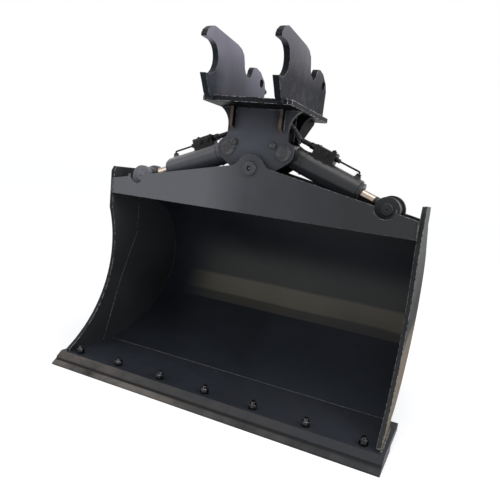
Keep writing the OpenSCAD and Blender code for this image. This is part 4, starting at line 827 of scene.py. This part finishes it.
pivotPinSettings = {
    "front": -12, "rear": 222, "radius": 30, "chamfer": 2, "wellDepth": 14,
    "face": [(30, 3.6), (29.2, 1.8), (27.6, 0.6), (25.6, 0), (22.5, 0), (21.9, 0.5), (21.3, 0), (11.2, 0),
             (10, 1.2), (10, 14), (0, 14)],
    "nippleHex": (8, 5, 0.5), "nippleSink": 0.01,
    "nippleTip": [(0, 4.6), (2.8, 4.6), (2.6, 6.4), (1.7, 7.4), (2.4, 8.4), (2.3, 9.4), (1.2, 10), (0, 9.7)],
}


def makePivotPin(s):
    bm = bmesh.new()
    addShape(bm, pinShape(s, [], 64), towardsFront)
    finishPiece(bm, "pivotPin", "pinPaint", "bucket", ["pivot_pin"])
    bm = bmesh.new()
    floor = s["front"] + s["wellDepth"]
    addShape(bm, hexShape(*s["nippleHex"]), shift(0, floor + s["nippleSink"], 0) @ towardsFront)
    addShape(bm, turnedShape(s["nippleTip"], 24), shift(0, floor, 0) @ towardsFront)
    finishPiece(bm, "greaseNipple", "pinSteel", "bucket", ["pivot_nipple"])


makePivotPin(pivotPinSettings)
print("pins made")

# Valve blocks with their plugs, cartridge and hose ends, and the glands of the cylinders. Hexagons are given
# as width across, height and chamfer, and turned shapes as radius and height

valveSettings = {
    "rounding": 1.8,
    "screwSpots": [(8, -19), (8, 19), (90, -19), (90, 19)],
    "screw": [(0, -0.5), (5.2, -0.5), (5.2, 1.8), (4.6, 2.4), (2.8, 2.4), (2.6, 0.4), (0, 0.4)],
    "ferruleStart": 20, "ferruleEnd": 66, "ferruleRadius": 11,
    "crimpFoot": [(0, 0), (8, 0), (10, 0.6), (11, 2)],
    "crimp": [(11, 5), (10.1, 6.2), (10.1, 9), (11, 10.2)], "crimpPitch": 7, "crimps": 5,
    "hoseNut": (27, 26, 1.6),
    "plugShares": [0.204, 0.592], "plugHex": (18.92, 9, 1.2),
    "plugSeat": [(0, -0.5), (12.5, -0.5), (12.5, 1.4), (0, 1.4)],
    "cartridgeShare": 0.796, "cartridgeHex": (19, 7.2, 1.0),
    "cartridgeStem": [(0, 6), (6, 6), (6, 9), (4, 9), (4, 11.5), (0, 12)],
    "tubeHexes": {0: (19, 9, 1.0), 10: (17.48, 10, 1.2)}, "portHex": (19, 8, 1.2),
    "gland": [(22.7, -44), (39.6, -44), (39.6, -1), (44, -1), (44, 4), (42.8, 4.8), (42.8, 7), (44, 7.8),
              (44, 12.6), (41.6, 15), (28.7, 15), (27.7, 13), (22.7, 13), (22.7, -44)],
}


def crimpProfile(s):
    end = s["ferruleEnd"] - s["ferruleStart"] - 1
    rings = [(radius, height + k * s["crimpPitch"]) for k in range(s["crimps"])
             for radius, height in s["crimp"]]
    return s["crimpFoot"] + rings + [(s["ferruleRadius"], end), (0, end)]


def makeValve(side):
    s, c = valveSettings, cylinderSettings
    name, body = sideNames[side].capitalize(), "barrel_" + sideNames[side] + "_body"
    seat = cylinderSeat(side)
    start, length, top, half = c["blockStart"], c["blockLength"], c["blockTop"], c["blockWidth"] / 2
    bm = bmesh.new()
    addShape(bm, blockShape((start, -half, c["blockFoot"]), (start + length, half, top), s["rounding"]), seat)
    for ahead, across in s["screwSpots"]:
        addShape(bm, turnedShape(s["screw"], 20), seat @ shift(start + ahead, across, top))
    finishPiece(bm, "valveBlock" + name, "fittingPaint", body, ["valve_block_" + sideNames[side]])
    # crimped ferrule, then its union nut
    bm = bmesh.new()
    hoseLine = seat @ shift(s["ferruleStart"], 0, c["hoseHeight"]) @ alongX
    addShape(bm, turnedShape(crimpProfile(s), 32), hoseLine)
    addShape(bm, hexShape(*s["hoseNut"]), hoseLine @ shift(0, 0, s["ferruleEnd"] - s["ferruleStart"]))
    for share in s["plugShares"]:
        plug = seat @ shift(start + share * length, -half, c["tubeHeight"]) @ towardsFront
        addShape(bm, turnedShape(s["plugSeat"], 32), plug)
        addShape(bm, hexShape(*s["plugHex"]), plug)
    cartridge = seat @ shift(start + s["cartridgeShare"] * length, 0, top)
    addShape(bm, hexShape(*s["cartridgeHex"]), cartridge)
    addShape(bm, turnedShape(s["cartridgeStem"], 24), cartridge)
    tubeLine = seat @ shift(start + length, 0, c["tubeHeight"]) @ alongX
    for ahead, sizes in s["tubeHexes"].items():
        addShape(bm, hexShape(*sizes), tubeLine @ shift(0, 0, ahead))
    addShape(bm, hexShape(*s["portHex"]), seat @ shift(c["portStart"], 0, c["barrelRadius"] + s["portHex"][1]))
    finishPiece(bm, "valveFittings" + name, "fittingPaint", body, ["valve_fittings_" + sideNames[side]])
    bm = bmesh.new()
    addShape(bm, turnedShape(s["gland"], 64), seat @ shift(c["barrelEnd"], 0, 0) @ alongX)
    finishPiece(bm, "gland" + name, cylinderPaints[side], body, ["gland_" + sideNames[side]])


for side in sideNames:
    makeValve(side)
print("valves and glands made")

# Weld beads: laid along the corners where plates meet, rippled as the torch left them

weldSettings = {
    "ripple": 4.2, "rippleDepth": 0.1, "step": 1.4, "longStep": 2.1, "barStep": 2.8, "endShare": 0.7,
    "heavy": 5.5, "medium": 4.5, "fine": 2.8, "boss": 2.24, "ridge": 1.95, "thin": 1.5, "sharp": 60,
}


def resampled(points, step):
    points = [Vector(p) for p in points]
    out, left = [points[0]], step
    for a, b in zip(points, points[1:]):
        length = (b - a).length
        ahead = left
        while ahead < length:
            out.append(a.lerp(b, ahead / length))
            ahead += step
        left = ahead - length
    return out + [points[-1]]


def addBead(bm, points, size, spacing="step"):
    s = weldSettings
    step = s[spacing]
    path = resampled(points, step)
    thickness = []
    for k in range(len(path)):
        phase = (k * step / s["ripple"]) % 1
        thickness.append(1 + s["rippleDepth"] * (abs(2 * phase - 1) ** 0.6 * 2 - 1))
    thickness[0] = thickness[-1] = s["endShare"]
    addShape(bm, wireShape(path, s[size], 1, thickness))


def finishBeads(bm, name, finish, body):
    finishPiece(bm, name, finish, body, sharp=weldSettings["sharp"])


def arcPoints(center, radius, start, end, steps=48):
    turns = (math.radians(start + (end - start) * k / steps) for k in range(steps + 1))
    return [(center[0] + radius * math.cos(t), center[1] + radius * math.sin(t)) for t in turns]


# Places in the bucket's side view are Y and Z
bucketSketch = {
    "lowerCenter": (24.97, -270.67), "lowerRadius": 670, "lowerStart": -84, "seamTurn": -43.21,
    "backCenter": (301.92, -530.86), "topCenter": (301.92, -510.86), "backRadius": 290, "topTurn": 75,
    "sheet": 10, "lapY": 520.3, "lapHalf": 690, "halfWidth": 709, "taper": 1.5, "cutter": 18,
    "sideSeam": [(214, -408), (120, -640), (76, -780), (38, -920)],
    "floor": -937, "footInside": (-186, 90), "footOutside": (-190, 26), "baseBack": 94, "baseHalf": 700,
    "beamFaces": (-1, 211), "beamBack": 210, "frontEnd": (-124, -186), "rearEnd": (-126, -186),
    "beamUnder": (207, -191), "beamHalf": 698,
    "barX": (560, 190), "barHalf": 31, "barTurns": (-76, -44),
    "lugs": [(45, 65, 50), (145, 165, 56)], "lugX": 578, "lugFloor": -177,
}


# Profile of the shell's inner or outer face from the base edge to the beam
def shellProfile(s, grow=0.0):
    low = arcPoints(s["lowerCenter"], s["lowerRadius"] + grow, s["lowerStart"], s["seamTurn"])
    back = arcPoints(s["backCenter"], s["backRadius"] + grow, s["seamTurn"], 0, 24)
    top = arcPoints(s["topCenter"], s["backRadius"] + grow, 0, s["topTurn"], 32)
    y, z = top[-1]
    run = (y - s["beamBack"]) / math.sin(math.radians(s["topTurn"]))
    end = (s["beamBack"] + 4, z + run * math.cos(math.radians(s["topTurn"])))
    return low + back + top + [end]


def sideX(y, s, inset=0.0):
    return s["halfWidth"] - y * math.tan(math.radians(s["taper"])) - inset


def makeBucketWelds(s):
    corners, rubbed, outside = bmesh.new(), bmesh.new(), bmesh.new()
    floor, out, (front, rear) = s["floor"], s["cutter"] + 1, s["beamFaces"]
    for side in (1, -1):
        inner = [(side * sideX(y, s, 0.6), y, z) for y, z in shellProfile(s, -1.0)]
        addBead(corners, inner, "fine", "longStep")
        # seam between the thick front part and the thin rear part of the side
        addBead(rubbed, [(side * sideX(y, s, -0.6), y, z) for y, z in s["sideSeam"]], "thin", "longStep")
        # foot of the side on the base edge, inside and outside
        addBead(corners, [(side * sideX(y, s, 0.6), y, floor) for y in s["footInside"]], "fine", "longStep")
        addBead(outside, [(side * (sideX(y, s) + out), y, floor) for y in s["footOutside"]], "heavy")
        # ends of the beam's plates
        addBead(rubbed, [(side * sideX(front, s, 1), front, z) for z in s["frontEnd"]], "fine")
        addBead(outside, [(side * sideX(rear, s, 2), rear, z) for z in s["rearEnd"]], "fine")
    ridge = [(x, s["baseBack"], floor - 0.6) for x in (-s["baseHalf"], s["baseHalf"])]
    addBead(rubbed, ridge, "ridge", "longStep")
    # underside of the beam against the rolled back
    addBead(corners, [(x, *s["beamUnder"]) for x in (-s["beamHalf"], s["beamHalf"])], "medium", "longStep")
    finishBeads(corners, "cornerWelds", "insideWeldPaint", "bucket")
    finishBeads(rubbed, "rubbedWelds", "rubbedWeldPaint", "bucket")
    finishBeads(outside, "outsideWelds", "weldPaint", "bucket")


# The wear bars under the heel, and the lap of the two sheets
def makeShellWelds(s):
    bm = bmesh.new()
    arc = arcPoints(s["lowerCenter"], s["lowerRadius"] + s["sheet"] + 1, *s["barTurns"], 40)
    for side in (1, -1):
        for x in s["barX"]:
            for edge in (-s["barHalf"], s["barHalf"]):
                addBead(bm, [(side * x + edge, y, z) for y, z in arc], "fine", "barStep")
    y, z = min(shellProfile(s, s["sheet"]), key=lambda p: abs(p[0] - s["lapY"]))
    addBead(bm, [(-s["lapHalf"], y, z), (s["lapHalf"], y, z)], "medium", "longStep")
    finishBeads(bm, "shellWelds", "weldPaint", "bucket")


def makeLugWelds(s):
    bm = bmesh.new()
    for side in (1, -1):
        for low, high, r in s["lugs"]:
            for y in (low - 1, high + 1):
                addBead(bm, [(side * (s["lugX"] + end), y, s["lugFloor"]) for end in (-r, r)], "medium")
    finishBeads(bm, "lugWelds", "weldPaint", "bucket")


tiltSketch = {
    "frontPlate": (26, 46), "rearPlate": (164, 184), "hitchUnder": 250, "hitchTop": 270, "flareHalf": 178,
    "hookFaces": {140: -1, 166: 1}, "hookFoot": (-122, 366), "gussetX": 112, "gussetHalf": 7.1,
    "gussetLow": 158, "webFaces": (103.5, 116.5), "webLow": 134, "hubRadius": 50.5,
}


def makeTiltWelds(s):
    bm = bmesh.new()
    under, top, front = s["hitchUnder"], s["hitchTop"] + 1, s["frontPlate"][0] - 1
    inner = (s["frontPlate"][1] + 0.5, s["rearPlate"][0] - 0.5)
    for y in (front, s["rearPlate"][1] + 1):
        addBead(bm, [(x, y, under - 1) for x in (-s["flareHalf"], s["flareHalf"])], "fine")
    for side in (1, -1):
        for x, out in s["hookFaces"].items():
            addBead(bm, [(side * (x + out), y, top) for y in s["hookFoot"]], "heavy")
        for edge in (-s["gussetHalf"], s["gussetHalf"]):
            x = s["gussetX"] + edge
            addBead(bm, [(side * x, front, s["gussetLow"]), (side * x, front, under - 2)], "fine")
        for x in s["webFaces"]:
            for y in inner:
                addBead(bm, [(side * x, y, s["webLow"]), (side * x, y, under - 2)], "fine")
    for y in inner:
        addBead(bm, [(x, y, z) for x, z in arcPoints((0, 0), s["hubRadius"], 0, 360, 72)], "medium")
    finishBeads(bm, "tiltWelds", "lugPaint", "tilt_body")


# Beads round each barrel's foot and its port boss
def makeBarrelWelds(side, s, bossRadius=13.4, bossSteps=48):
    bm = bmesh.new()
    seat = cylinderSeat(side)
    ring = arcPoints((0, 0), s["barrelRadius"] + 0.2, 0, 360, 72)
    addBead(bm, [seat @ Vector((s["barrelStart"], y, z)) for y, z in ring], "fine")
    boss = []
    for x, y in arcPoints((s["portStart"], 0), bossRadius, 0, 360, bossSteps):
        boss.append(seat @ Vector((x, y, math.sqrt(s["barrelRadius"] ** 2 - y ** 2) + 0.3)))
    addBead(bm, boss, "boss")
    finishBeads(bm, "barrelWelds" + sideNames[side].capitalize(), cylinderPaints[side],
                "barrel_" + sideNames[side] + "_body")


makeBucketWelds(bucketSketch)
makeShellWelds(bucketSketch)
makeLugWelds(bucketSketch)
makeTiltWelds(tiltSketch)
for side in sideNames:
    makeBarrelWelds(side, cylinderSettings)
print("welds laid")

# Floor, lights and surroundings

stageSettings = {
    "floorHeight": place(0, 0, -990).z - 0.0005,
    "floorSize": 60.0,
    "floorColor": (0.8, 0.8, 0.8, 1),
    "floorRoughness": 0.9,
    "nearGlow": 0.46, "farGlow": 0.62, "glowReach": (2.0, 5.0),
    "roomTint": (0.93, 0.95, 1.0, 1),
    "roomStrength": 0.5,
}


# How much a ray comes from the camera, or from a reflection or glass
def seenRays(tree):
    path = addNode(tree, "LightPath")
    direct = mathNode(tree, "MAXIMUM", path.outputs["Is Camera Ray"], path.outputs["Is Glossy Ray"])
    return mathNode(tree, "MAXIMUM", direct, path.outputs["Is Transmission Ray"])


def makeFloor(s):
    bm = bmesh.new()
    bmesh.ops.create_grid(bm, x_segments=1, y_segments=1, size=s["floorSize"] / 2)
    bmesh.ops.translate(bm, verts=bm.verts, vec=(0, 0, s["floorHeight"]))
    mesh = meshFrom(bm, "floor")
    floor = newObject("floor", mesh)
    material, tree, shader = newMaterial("paleFloor")
    fill(tree, shader, {"Base Color": s["floorColor"], "Roughness": s["floorRoughness"],
                        "Specular IOR Level": 0.0})
    # lamps light the near floor only, so the far floor glows more; the object's shadow stays
    away = addNode(tree, "VectorMath", {0: pieceCoords(tree), 1: (0, 0, s["floorHeight"])},
                   operation="DISTANCE").outputs["Value"]
    near, far = s["nearGlow"], s["farGlow"]
    strength = plus(tree, times(tree, ramp(tree, away, *s["glowReach"]), far - near), near)
    glow = addNode(tree, "Emission", {"Strength": times(tree, seenRays(tree), strength)})
    both = addNode(tree, "AddShader", {0: shader.outputs[0], 1: glow.outputs[0]})
    tree.links.new(both.outputs[0], tree.nodes["Material Output"].inputs["Surface"])
    mesh.materials.append(material)


def makeWorld(s):
    world = bpy.data.worlds.new("studio")
    bpy.context.scene.world = world
    world.use_nodes = True
    tree = world.node_tree
    tree.nodes.clear()
    soft = addNode(tree, "Background", {"Color": s["roomTint"], "Strength": s["roomStrength"]})
    pale = addNode(tree, "Background", {"Color": (1, 1, 1, 1), "Strength": 1.0})
    mix = addNode(tree, "MixShader", {0: seenRays(tree), 1: soft.outputs[0], 2: pale.outputs[0]})
    addNode(tree, "OutputWorld", {0: mix.outputs[0]})


lampSettings = {
    "topSoft": {"spot": (0.3, -0.6, 3.2), "aim": (0, 0.3, -0.6), "size": (3.2, 2.4), "power": 58,
                "color": (1, 1, 1)},
    "leftSoft": {"spot": (-3.0, -2.0, 1.2), "aim": (0, 0.2, -0.6), "size": (1.8, 1.8), "power": 22,
                 "color": (1, 0.97, 0.94)},
    "rightSoft": {"spot": (3.4, -0.6, 0.8), "aim": (0, 0.2, -0.6), "size": (1.6, 2.0), "power": 52,
                  "color": (0.96, 0.98, 1)},
}


def addLamp(name, s):
    data = bpy.data.lights.new(name, "AREA")
    data.shape = "RECTANGLE"
    data.size, data.size_y = s["size"]
    data.energy = s["power"]
    data.color = s["color"]
    lamp = newObject(name, data)
    lamp.location = s["spot"]
    lamp.rotation_mode = "QUATERNION"
    lamp.rotation_quaternion = (Vector(s["aim"]) - Vector(s["spot"])).to_track_quat("-Z", "Y")


makeFloor(stageSettings)
makeWorld(stageSettings)
for lampName, values in lampSettings.items():
    addLamp(lampName, values)
bpy.context.scene.view_settings.view_transform = "Standard"
print("stage lit")
